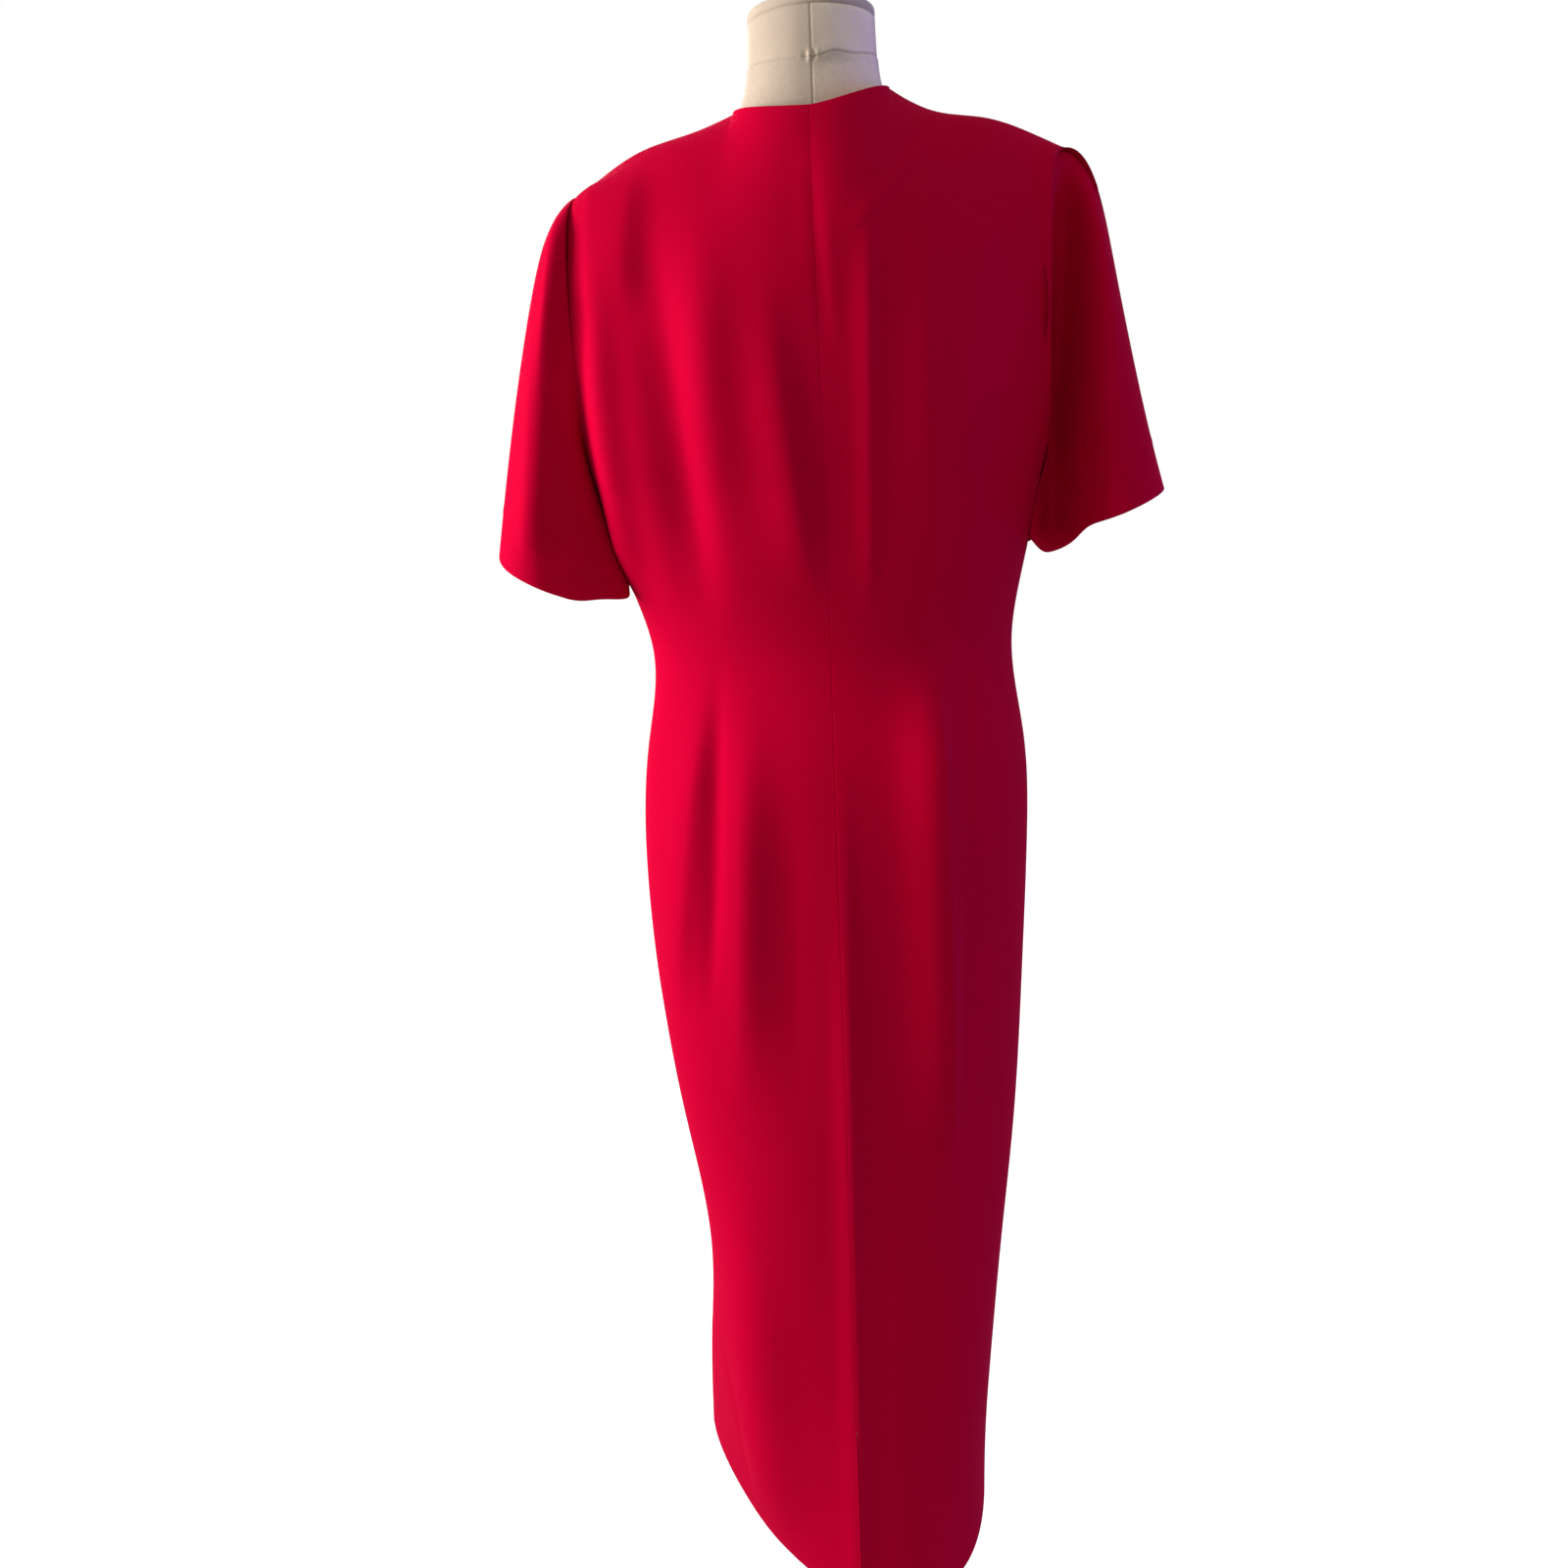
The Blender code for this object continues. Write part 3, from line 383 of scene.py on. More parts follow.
# the edge of the armhole's seam, rounded down into the seam, by share of the width
armholeRidge = {"height": -0.0017, "width": 0.013, "fade": 0.06}


# The folds pushed along the normals, and the armhole's edge as half a bell. They die out at the side
# seam and the armhole, which two pieces share, and below the neckline and the shoulder seam.
def foldedPanel(points, share, folds):
    normals = outwardNormals(points)
    height = foldHeights(points[..., 0], points[..., 2], folds)
    rows = np.arange(points.shape[0]) - dressCut["lowerRows"]
    edge = np.where(rows < 0, foldFade["side"], foldFade["armhole"])[:, None]
    atSide = softStep((1 - share) / edge)
    atTop = softStep((1 - rows / dressCut["upperRows"]) / foldFade["top"])[:, None]
    ridge = armholeRidge
    edgeBell = bell(1 - share, ridge["width"])
    along = softStep(rows / dressCut["upperRows"] / ridge["fade"])[:, None] * atTop
    out = height * atSide * atTop + ridge["height"] * edgeBell * along
    return points + normals * out[..., None]


# The same on a sleeve, pushed straight back or front: a fold counts where the sleeve faces its way, and
# dies out at the armhole.
def foldedSleeve(points, side):
    normals = outwardNormals(points, aroundTube=True)
    away = np.linspace(0, 1, len(points))[:, None] / foldFade["cap"]
    moved = points.copy()
    for face, turn in (("back", 1), ("front", -1)):
        facing = softStep(turn * normals[..., 1] / foldFade["facing"])
        height = foldHeights(points[..., 0], points[..., 2], sleeveFolds[side][face])
        moved[..., 1] += turn * height * facing * softStep(away)
    return moved


def newObject(name, data):
    thing = bpy.data.objects.new(name, data)
    bpy.context.scene.collection.objects.link(thing)
    return thing


def newPiece(name, points, quads, material):
    mesh = bpy.data.meshes.new(name)
    mesh.from_pydata(points, [], quads)
    mesh.validate()
    mesh.shade_smooth()
    mesh.materials.append(material)
    return newObject(name, mesh)


# A piece from a grid of points, its quads wound to face along the normals. closed joins the last column
# to the first.
def gridPiece(name, points, normals, material, closed=False):
    rows, columns = points.shape[:2]
    index = np.arange(rows * columns).reshape(rows, columns)
    if closed:
        index = np.hstack([index, index[:, :1]])
    quads = np.stack([index[:-1, :-1], index[:-1, 1:], index[1:, 1:], index[1:, :-1]], -1).reshape(-1, 4)
    flat, facing = points.reshape(-1, 3), normals.reshape(-1, 3)
    a, b, c = flat[quads[:, 0]], flat[quads[:, 1]], flat[quads[:, 2]]
    outwards = (np.cross(b - a, c - a) * facing[quads[:, 0]]).sum() > 0
    return newPiece(name, flat, quads if outwards else quads[:, ::-1], material)


# Steps of a turned edge as (along, inwards) pairs: a bend of the given radius and angle, then a
# straight turning of the given depth.
def turnedEdge(radius, degrees, depth, bendSteps, depthSteps):
    angle = np.radians(np.linspace(0, degrees, bendSteps + 1)[1:])
    along = radius * np.sin(angle)
    inwards = radius * (1 - np.cos(angle))
    run = np.linspace(0, depth, depthSteps + 1)[1:]
    along = np.concatenate([along, along[-1] + run * math.cos(angle[-1])])
    inwards = np.concatenate([inwards, inwards[-1] + run * math.sin(angle[-1])])
    return np.stack([along, inwards], -1)


hemTurn = {"radius": 0.0009, "rows": 7}
edgeTurnings = {
    "seam": turnedEdge(0.0005, 90, 0.005, 4, 1),
    "hem": turnedEdge(hemTurn["radius"], 180, 0, 6, 0),
    "frontEdge": turnedEdge(0.0007, 180, 0.01, 6, 3),
}


# Offsets of a turned edge from the grid's outer line: out along the surface, and in along the normal.
def edgeOffsets(line, beside, normals, steps):
    outward = unitVectors(line - beside)
    outward = unitVectors(outward - normals * (outward * normals).sum(-1, keepdims=True))
    return outward[None] * steps[:, :1, None] - normals[None] * steps[:, 1:, None]


# The same for rows, as points. A hem's turned layer goes on past the bend under the surface's own rows.
def edgeRows(points, normals, turning):
    rows = points[0] + edgeOffsets(points[0], points[1], normals[0], edgeTurnings[turning])
    if turning == "hem":
        under = slice(1, 1 + hemTurn["rows"])
        rows = np.concatenate([rows, points[under] - 2 * hemTurn["radius"] * normals[under]])
    return rows


# A piece with its edges turned in: each edge adds its own offsets past the grid, and a corner adds both.
def withTurnedEdges(points, normals, low=None, high=None, start=None, end=None):
    below = edgeRows(points, normals, low)[::-1] if low else points[:0]
    above = edgeRows(points[::-1], normals[::-1], high) if high else points[:0]
    grid = np.concatenate([below, points, above])
    addedRows = (len(below), len(above))
    besides = []
    for edge, line, inner in ((start, 0, 1), (end, -1, -2)):
        if edge is None:
            besides.append(grid[:, :0])
            continue
        offsets = edgeOffsets(points[:, line], points[:, inner], normals[:, line], edgeTurnings[edge])
        offsets = np.pad(offsets, ((0, 0), addedRows, (0, 0)), mode="edge")
        besides.append((grid[:, line] + offsets).transpose(1, 0, 2))
    grid = np.concatenate([besides[0][:, ::-1], grid, besides[1]], axis=1)
    addedColumns = (besides[0].shape[1], besides[1].shape[1])
    return grid, np.pad(normals, (addedRows, addedColumns, (0, 0)), mode="edge")


# Walls the surface inwards by the thickness.
def addThickness(piece, thickness):
    wall = piece.modifiers.new("cloth thickness", "SOLIDIFY")
    wall.thickness = thickness
    wall.offset = -1
    wall.use_rim = True


# Moves an edge line of a grid towards the line beside it.
def pullIn(points, line, beside, distance):
    points[line] += unitVectors(points[beside] - points[line]) * distance


def newMaterial(name):
    material = bpy.data.materials.new(name)
    material.use_nodes = True
    return material, material.node_tree, material.node_tree.nodes["Principled BSDF"]


# Inputs by name or number: a plain value is set, and another node's output is joined.
def setInputs(tree, node, inputs):
    for key, value in inputs.items():
        if isinstance(value, bpy.types.NodeSocket):
            tree.links.new(value, node.inputs[key])
        else:
            node.inputs[key].default_value = value


def addNode(tree, kind, inputs, **settings):
    node = tree.nodes.new("ShaderNode" + kind)
    for key, value in settings.items():
        setattr(node, key, value)
    setInputs(tree, node, inputs)
    return node


def addMath(tree, operation, *values):
    return addNode(tree, "Math", dict(enumerate(values)), operation=operation).outputs[0]


def addNoise(tree, coords, scale, detail):
    return addNode(tree, "TexNoise", {"Vector": coords, "Scale": scale, "Detail": detail}).outputs["Fac"]


def addBump(tree, height, strength, distance):
    bump = addNode(tree, "Bump", {"Height": height, "Strength": strength, "Distance": distance})
    return bump.outputs["Normal"]


# Straight blend of two colours by a factor from 0 to 1.
def addBlend(tree, factor, first, second):
    inputs = {"Factor": factor, "A": (*first, 1), "B": (*second, 1)}
    return addNode(tree, "Mix", inputs, data_type="RGBA").outputs["Result"]


crepeLook = {
    "colour": (0.52, 0, 0.029),
    "deepColour": (0.45, 0, 0.023),
    "roughness": 0.8,
    "specular": 0.015,
    "sheen": 0.12,
    "sheenRoughness": 0.35,
    "sheenTint": (1.0, 0.02, 0.2),
    "pebbleScale": 1500,  # crepe grain, per metre
    "patchScale": 14,
    "grainShare": 0.5,  # how far grain and patches turn the deep colour to the other
    "patchShare": 0.5,
    "least": 0.25,
    "bump": 0.25,
}


# Red crepe: the colour's share is its least, plus a part of the patches and a part of the grain.
def crepeMaterial():
    look = crepeLook
    material, tree, shader = newMaterial("red crepe")
    coords = addNode(tree, "TexCoord", {}).outputs["Object"]
    patches = addNoise(tree, coords, look["patchScale"], 3)
    grain = addNoise(tree, coords, look["pebbleScale"], 2)
    lift = addMath(tree, "MULTIPLY_ADD", patches, look["patchShare"], look["least"])
    share = addMath(tree, "MULTIPLY_ADD", grain, look["grainShare"], lift)
    setInputs(tree, shader, {
        "Base Color": addBlend(tree, share, look["deepColour"], look["colour"]),
        "Roughness": look["roughness"],
        "Normal": addBump(tree, grain, look["bump"], 0.0002),
        "Specular IOR Level": look["specular"],
        "Specular Tint": (*look["sheenTint"], 1),
        "Sheen Weight": look["sheen"],
        "Sheen Roughness": look["sheenRoughness"],
        "Sheen Tint": (*look["sheenTint"], 1),
    })
    return material


linenLook = {
    "paintedShadeLeftColour": (0.52, 0.425, 0.33),  # painted light: a darker cream on the left, where the key light falls, and a lighter one on the right, in shade
    "paintedLightRightColour": (0.92, 0.76, 0.58),
    "threadShade": 0.8,
    "seamShade": 0.5,
    "roughness": 0.85,
    "specular": 0.2,
    "sheen": 0.25,
    "threads": 1100,  # per metre
    "slubs": 380,
    "stains": 26,
    "stainDepth": 0.3,
    "spotContrast": 5.0,
    "spotStart": 0.15,  # grain below this is all thread shade
    "coarseDepth": 0.55,  # how far the coarse cover's speckle goes to the thread's shade
    "smoothDepth": 0.22,
    "bump": 0.5,
}


# Cream cover: speckle, slubs and stains darken it, more where it is coarse, and its seams carry painted
# shade. Painted light turns its cream from darker on the left, where the key light falls, to lighter on
# the right, in shade.
def linenMaterial():
    look = linenLook
    material, tree, shader = newMaterial("cream linen")
    coords = addNode(tree, "TexCoord", {}).outputs["Object"]
    speckle = addNoise(tree, coords, look["threads"], 3)
    slubs = addNoise(tree, coords, look["slubs"], 4)
    stains = addNoise(tree, coords, look["stains"], 5)
    coarse, seam, paintedLightShare = (addNode(tree, "Attribute", {}, attribute_name=name).outputs["Fac"]
                             for name in ("coarse", "seamShade", "paintedLightShare"))
    grain = addMath(tree, "MULTIPLY", speckle, slubs)
    contrast = look["spotContrast"]
    spots = addMath(tree, "MULTIPLY_ADD", grain, contrast, -contrast * look["spotStart"])
    spots.node.use_clamp = True
    span = look["coarseDepth"] - look["smoothDepth"]
    depth = addMath(tree, "MULTIPLY_ADD", coarse, span, look["smoothDepth"])
    dark = addMath(tree, "MULTIPLY", addMath(tree, "SUBTRACT", 1.0, spots), depth)
    patchy = addMath(tree, "MULTIPLY_ADD", stains, -look["stainDepth"], 1 + look["stainDepth"] / 2)
    weave = addMath(tree, "MULTIPLY_ADD", dark, look["threadShade"] - 1, 1.0)
    seamed = addMath(tree, "MULTIPLY_ADD", seam, look["seamShade"] - 1, 1.0)
    shade = addMath(tree, "MULTIPLY", addMath(tree, "MULTIPLY", weave, patchy), seamed)
    # painted light: cream from darker on the left, where the key light falls, to lighter on the right,
    # in shade
    cream = addBlend(tree, paintedLightShare, look["paintedShadeLeftColour"], look["paintedLightRightColour"])
    cream = addNode(tree, "VectorMath", {0: cream, "Scale": shade}, operation="SCALE").outputs[0]
    setInputs(tree, shader, {
        "Base Color": cream,
        "Roughness": look["roughness"],
        "Normal": addBump(tree, grain, look["bump"], 0.0003),
        "Specular IOR Level": look["specular"],
        "Sheen Weight": look["sheen"],
    })
    return material


# One colour, with a fine grain that varies the roughness by spread either way and the bump.
def plainMaterial(name, colour, roughness, specular=0.5, grain=600, bump=0.1, spread=0.08):
    material, tree, shader = newMaterial(name)
    coords = addNode(tree, "TexCoord", {}).outputs["Object"]
    fine = addNoise(tree, coords, grain, 3)
    uneven = addNode(tree, "MapRange",
                     {"Value": fine, "To Min": roughness - spread, "To Max": roughness + spread})
    setInputs(tree, shader, {
        "Base Color": (*colour, 1),
        "Roughness": uneven.outputs["Result"],
        "Normal": addBump(tree, fine, bump, 0.0001),
        "Specular IOR Level": specular,
    })
    return material


crepe = crepeMaterial()
linen = linenMaterial()
buttonRed = plainMaterial("button red", (0.44, 0, 0.024), 0.36, specular=0.16)
standPaint = plainMaterial("off-white stand paint", (0.8, 0.79, 0.77), 0.42, grain=900, bump=0.3)
print("materials done")


panels = {}
for side in (left, right):
    for face, folds in (("back", backFolds), ("front", frontFolds)):
        name = face + "_" + sideNames[side]
        points, share = panelPoints(side, face)
        panels[name] = foldedPanel(points, share, folds)

# the upper front, over the under one near the centre and back on the dress's own surface past it
upperFront = panels["front_right"]
pastLap = (-upperFront[..., 0] - dressCut["lap"]) / dressCut["lapFade"]
lift = dressCut["lapLift"] * (1 - softStep(pastLap))
panels["front_right"] = upperFront + outwardNormals(upperFront) * lift[..., None]
panelNormals = {name: outwardNormals(points) for name, points in panels.items()}


# One line and one set of normals for each seam that two pieces share: the mean of both.
def shareSeam(one, oneLine, two, twoLine):
    middle = (panels[one][oneLine] + panels[two][twoLine]) / 2
    both = unitVectors(panelNormals[one][oneLine] + panelNormals[two][twoLine])
    panels[one][oneLine] = middle
    panels[two][twoLine] = middle
    panelNormals[one][oneLine] = both
    panelNormals[two][twoLine] = both


lowerRows = dressCut["lowerRows"]
shareSeam("back_left", np.s_[:, 0], "back_right", np.s_[:, 0])
for name in sideNames.values():
    shareSeam("back_" + name, np.s_[:lowerRows + 1, -1], "front_" + name, np.s_[:lowerRows + 1, -1])


sleeveCut = {
    "columns": ("outer", "inner", "outerZ", "innerZ", "middle", "deep", "backDrop", "capOut",
                "capDown", "swing", "slant"),
    left: (0.2875, 0.18, 1.161, 1.124, -0.006, 0.06, 0.017, 0.03, 0.01, 0.026, 0.34),
    right: (0.282, 0.1735, 1.19, 1.146, 0.004, 0.066, 0.001, 0.04, -0.002, 0.042, 0.55),
    "round": 2.6,
    "innerRound": 9.0,  # of the corner between the sleeve's back and its inner wall
    "slantFrom": 0.3,  # share of the way out from which the back slants forward
    "slantPower": 1.4,
    "frontDrop": 0.4,  # share of the hem's drop in the sleeve's front
    "rows": 88,
    "capRise": 0.14,
    "underOut": 0.004,
    "underDown": 0.02,
    "underRise": 0.03,
    "besideDress": 0.0006,  # clear of the dress's own folds
    "besideRise": 0.04,  # and this much more for each metre above the underarm
    "besideBlend": 0.0008,
    "besideFrom": 0.2,  # share of the way to the hem
    "besideStart": 2.0,  # how soon past the armhole the sleeve is kept clear
    "seamButt": 0.0001,  # the raw edge stops this far short of the armhole's line, and lies this deep
    "seamSink": 0.0005,
    "hemMark": 0.0003,
    "hemMarkAt": 0.905,
    "markWidth": 0.007,
}
# How far the hem hangs below its straight line, as (distance from the middle plane, drop).
hemDrops = {
    left: [(0.15, -0.012), (0.165, -0.011), (0.18, -0.008), (0.195, -0.004), (0.212, 0.002),
           (0.232, 0.003), (0.255, 0.001), (0.275, 0), (0.3, 0)],
    right: [(0.14, -0.019), (0.162, -0.018), (0.171, -0.006), (0.179, 0.005), (0.187, 0.0085),
            (0.197, 0.009), (0.205, 0.0065), (0.213, 0.001), (0.223, 0), (0.29, 0)],
}


# Half widths of the folded dress up to the underarm, on even heights and depths.
def dressWidths(side):
    name = sideNames[side]
    front = panels["front_" + name][:lowerRows + 1]
    back = panels["back_" + name][:lowerRows + 1]
    around = np.concatenate([front, back[:, -2::-1]], axis=1)
    depths = np.linspace(-0.1, 0.1, 101)
    widths = np.stack([np.interp(depths, row[:, 1], side * row[:, 0]) for row in around])
    return depths, widths


# How far the folded dress reaches from the middle plane at a depth and height: a straight blend of the
# four nearest of its half widths.
def dressReach(side, y, z):
    depths, widths = wideness[side]
    bottom = levelSections["rows"][0][0]
    underarm = dressCut["underarm"]
    row = (np.clip(z, bottom, underarm) - bottom) / (underarm - bottom) * lowerRows
    column = (np.clip(y, depths[0], depths[-1]) - depths[0]) / (depths[1] - depths[0])
    i = np.minimum(row.astype(int), lowerRows - 1)
    j = np.minimum(column.astype(int), len(depths) - 2)
    u, v = row - i, column - j
    lower = widths[i, j] * (1 - v) + widths[i, j + 1] * v
    upper = widths[i + 1, j] * (1 - v) + widths[i + 1, j + 1] * v
    return lower * (1 - u) + upper * u


# The sleeve's hem by its angle, from the underarm up the back, over the top and down the front: a
# rounded box whose inner wall follows the dress beside it, and whose back slants forward towards that
# wall. Its height runs straight from end to end, lower to the back, and less its drop. Also the share
# of the way out, from -1 at the underarm to 1 at the outer end.
def sleeveHem(side, angle):
    cut = sleeveCut
    size = dict(zip(cut["columns"], cut[side]))
    innerBack = (np.cos(angle) > 0) & (np.sin(angle) > 0)
    power = 2 / np.where(innerBack, cut["innerRound"], cut["round"])
    reach = -np.sign(np.cos(angle)) * np.abs(np.cos(angle))**power
    deep = np.sign(np.sin(angle)) * np.abs(np.sin(angle))**power
    inward = np.clip((cut["slantFrom"] - reach) / (cut["slantFrom"] + 1), 0, 1)
    slant = size["slant"] * inward**cut["slantPower"] * (deep > 0)
    y = size["middle"] + size["deep"] * deep * (1 - slant)
    middle = (size["outer"] + size["inner"]) / 2
    wall = dressReach(side, y, size["innerZ"] + 0 * y) + cut["besideDress"]
    inner = middle + (wall - middle) * np.abs(reach)
    x = np.where(reach > 0, middle + (size["outer"] - middle) * reach, inner)
    slope = (size["outerZ"] - size["innerZ"]) / (size["outer"] - size["inner"])
    drop = smoothCurve(*np.array(hemDrops[side]).T, x)
    drop = drop * (cut["frontDrop"] + (1 - cut["frontDrop"]) * softStep(deep + 0.5))
    z = size["outerZ"] + slope * (x - size["outer"]) - size["backDrop"] * deep - drop
    return np.stack([side * x, y, z], -1), reach


# Closed rows from the armhole to the hem, evenly spaced round the back half and the front half. Rows
# stand closer together at the armhole's seam and where the hem is sewn down.
def sleevePoints(side):
    cut = sleeveCut
    size = dict(zip(cut["columns"], cut[side]))
    back = panels["back_" + sideNames[side]][lowerRows:, -1]
    front = panels["front_" + sideNames[side]][-2:lowerRows:-1, -1]
    armhole = np.concatenate([back, front])
    fine = np.linspace(0, 2 * math.pi, 4001)
    steps = np.linalg.norm(np.diff(sleeveHem(side, fine)[0], axis=0), axis=-1)
    length = np.concatenate([[0], np.cumsum(steps)])
    stations = np.arange(len(armhole)) * 2 / len(armhole)
    at = np.interp(stations, (0, 1, 2), (0, length[len(fine) // 2], length[-1]))
    hem, reach = sleeveHem(side, np.interp(at, length, fine))
    top = (reach + 1)[:, None] / 2
    out = np.array([side * size["capOut"], 0, -size["capDown"]])
    under = np.array([side * cut["underOut"], 0, -cut["underDown"]])
    leave = under + (out - under) * top
    come = np.array([-side * size["swing"], 0, cut["capRise"]]) * top
    come = come + np.array([0, 0, cut["underRise"]]) * (1 - top)
    t = densely(cut["rows"], near=(0, cut["hemMarkAt"]), height=4.0, width=0.015)
    return cubicBetween(armhole, armhole + leave, hem + come, hem, t[:, None, None]), t


# Moves a sleeve's points out where they come too near to the dress: the larger of the gap and the least
# gap, with a soft change between. The least gap starts from nothing at the armhole.
def clearOfDress(points, side, t):
    cut = sleeveCut
    share = np.minimum(t / cut["besideFrom"], 1)[:, None]
    above = np.maximum(points[..., 2] - dressCut["underarm"], 0)
    wall = dressReach(side, points[..., 1], points[..., 2])
    gap = side * points[..., 0] - wall
    least = (cut["besideDress"] + cut["besideRise"] * above) * share
    gap = (gap + least + np.sqrt((gap - least)**2 + (cut["besideBlend"] * share)**2)) / 2
    moved = points.copy()
    moved[..., 0] += (side * (wall + gap) - points[..., 0]) * softStep(share * cut["besideStart"])
    return moved


# The sewn line of the turned hem: a low bell along the normals.
def withHemMark(points, t):
    cut = sleeveCut
    mark = cut["hemMark"] * bell(t - cut["hemMarkAt"], cut["markWidth"])
    return points + outwardNormals(points, aroundTube=True) * mark[:, None, None]


seamTouch = 0.00003
seamPull = edgeTurnings["seam"][-1][0] - seamTouch  # turned seam edges come together to this much
clothPieces = {}
wideness = {side: dressWidths(side) for side in (left, right)}
for side in (left, right):
    sleeve, t = sleevePoints(side)
    sleeve = withHemMark(clearOfDress(foldedSleeve(sleeve, side), side, t), t)
    facing = outwardNormals(sleeve, aroundTube=True)
    # the sleeve's raw edge butts under the turned edge of the back and the front
    along = unitVectors(sleeve[1] - sleeve[0])
    sleeve[0] += along * sleeveCut["seamButt"] - facing[0] * sleeveCut["seamSink"]
    # rows run downwards, so the hem is the grid's high end
    grid, gridFacing = withTurnedEdges(sleeve, facing, high="hem")
    name = "sleeve_" + sideNames[side]
    clothPieces[name] = gridPiece(name + "_cloth", grid, gridFacing, crepe, closed=True)
for name, points in panels.items():
    facing = panelNormals[name]
    pullIn(points, np.s_[:, -1], np.s_[:, -2], seamPull)
    pullIn(points, np.s_[-1, :], np.s_[-2, :], seamPull)
    isBack = name.startswith("back")
    if isBack:
        pullIn(points, np.s_[:, 0], np.s_[:, 1], seamPull)
    grid, gridFacing = withTurnedEdges(points, facing, low="hem", high="seam",
                                       start="seam" if isBack else "frontEdge", end="seam")
    clothPieces[name] = gridPiece(name + "_cloth", grid, gridFacing, crepe)


# A piece that stands for one CAD node: put under the root body, with the node hidden.
def standsFor(piece, node):
    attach(piece, "root")
    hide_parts(node)


# Each piece as it was cut, with its seam allowances and hem turnings, walled to the crepe's thickness in
# place of its CAD node.
for name, piece in clothPieces.items():
    addThickness(piece, dressCut["cloth"])
    standsFor(piece, name)
print("cloth done")


# Closes the ends of a shell: points that fall together become one, and faces are turned outwards.
def closeEnds(piece):
    mesh = bmesh.new()
    mesh.from_mesh(piece.data)
    bmesh.ops.remove_doubles(mesh, verts=mesh.verts, dist=1e-6)
    bmesh.ops.recalc_face_normals(mesh, faces=mesh.faces)
    mesh.to_mesh(piece.data)
    mesh.free()


formCut = {
    "columns": ("level", "half", "back", "front", "round"),
    "rows": [
        (0.775, 0.146, 0.098, -0.1, 2.1),
        (0.84, 0.156, 0.108, -0.106, 2.1),
        (0.905, 0.158, 0.114, -0.11, 2.1),
        (0.985, 0.143, 0.098, -0.104, 2.1),
        (1.065, 0.12, 0.078, -0.094, 2.1),
        (1.15, 0.134, 0.082, -0.11, 2.1),
        (1.24, 0.15, 0.088, -0.122, 2.1),
        (1.32, 0.158, 0.086, -0.104, 2.2),
        (1.385, 0.164, 0.074, -0.074, 2.1),
        (1.425, 0.156, 0.06, -0.054, 1.8),
        (1.45, 0.126, 0.053, -0.044, 1.5),
        (1.47, 0.088, 0.05, -0.038, 1.4),
        (1.486, 0.069, 0.049, -0.036, 1.7),
        (1.5, 0.0605, 0.049, -0.038, 1.9),
        (1.516, 0.0545, 0.048, -0.04, 2.0),
        (1.535, 0.052, 0.048, -0.041, 2.0),
        (1.562, 0.051, 0.048, -0.042, 2.0),
    ],
    "levels": 230,
    "closeLevel": 1.527,  # rows stand closer together round here
    "around": 208,
    "bottomEdge": 0.006,  # radius of the rounded foot
    "edgeRows": 6,
    "footRows": (0, 0.4, 0.8),  # the rows that close the foot and the top, as shares of the radius
    "topRows": (0.9, 0.4, 0),
    "neckRing": {"back": 1.5245, "left": 1.53, "right": 1.5335, "front": 1.514},  # seam round the neck
    "ringDip": (0.0035, -0.018, 0.01),  # how far it dips beside the middle of the back, where, how wide
    "ringDepth": 0.0006,
    "ringWidth": 0.001,
    "coverStep": 0.0007,  # the coarse cover's folded edge stands this far over the neck's
    "stepWidth": 0.0012,
    "stepFade": 0.05,
    "seamDepth": 0.0007,  # seams down the middle of the back and the front
    "seamWidth": 0.0008,
    # small wrinkles where the seams cross in the back: depth, width, height, centre, radians per metre
    "pinch": (0.0012, 0.007, 0.0035, 0.001, 900),
}
# Painted shade in the cover's colour: how dark the seams are shaded, from 0 to 1, and the painted soft
# shadow below the ring's dip.
coverShade = {
    "ring": 0.15,
    "ringRight": 0.6,  # more on the right side, away from the key light, which starts over this width
    "rightWidth": 0.02,
    "middle": 0.3,
    "shadow": (0.6, -0.003, 0.005, -0.016, 0.016),  # darkness, height, its spread, place, its spread
    "frontPaintedLight": 0.35,  # painted light: share of the right side's lighter cream all over the front
    "paintedLightFrom": 0.01,  # in the back the painted light changes from here, over this width
    "paintedLightWidth": 0.024,
}


# A level of the form: half width times sine, and depth times cosine, each to the level's power.
def formPoints(level, angle):
    s = readTable(formCut, "level", level)
    power = 2 / s["round"]
    sine, cosine = np.sin(angle), np.cos(angle)
    depth = np.where(cosine > 0, s["back"], -s["front"])
    x = s["half"] * np.sign(sine) * np.abs(sine)**power
    y = depth * np.sign(cosine) * np.abs(cosine)**power
    return np.stack([x, y, level + 0 * angle], -1)
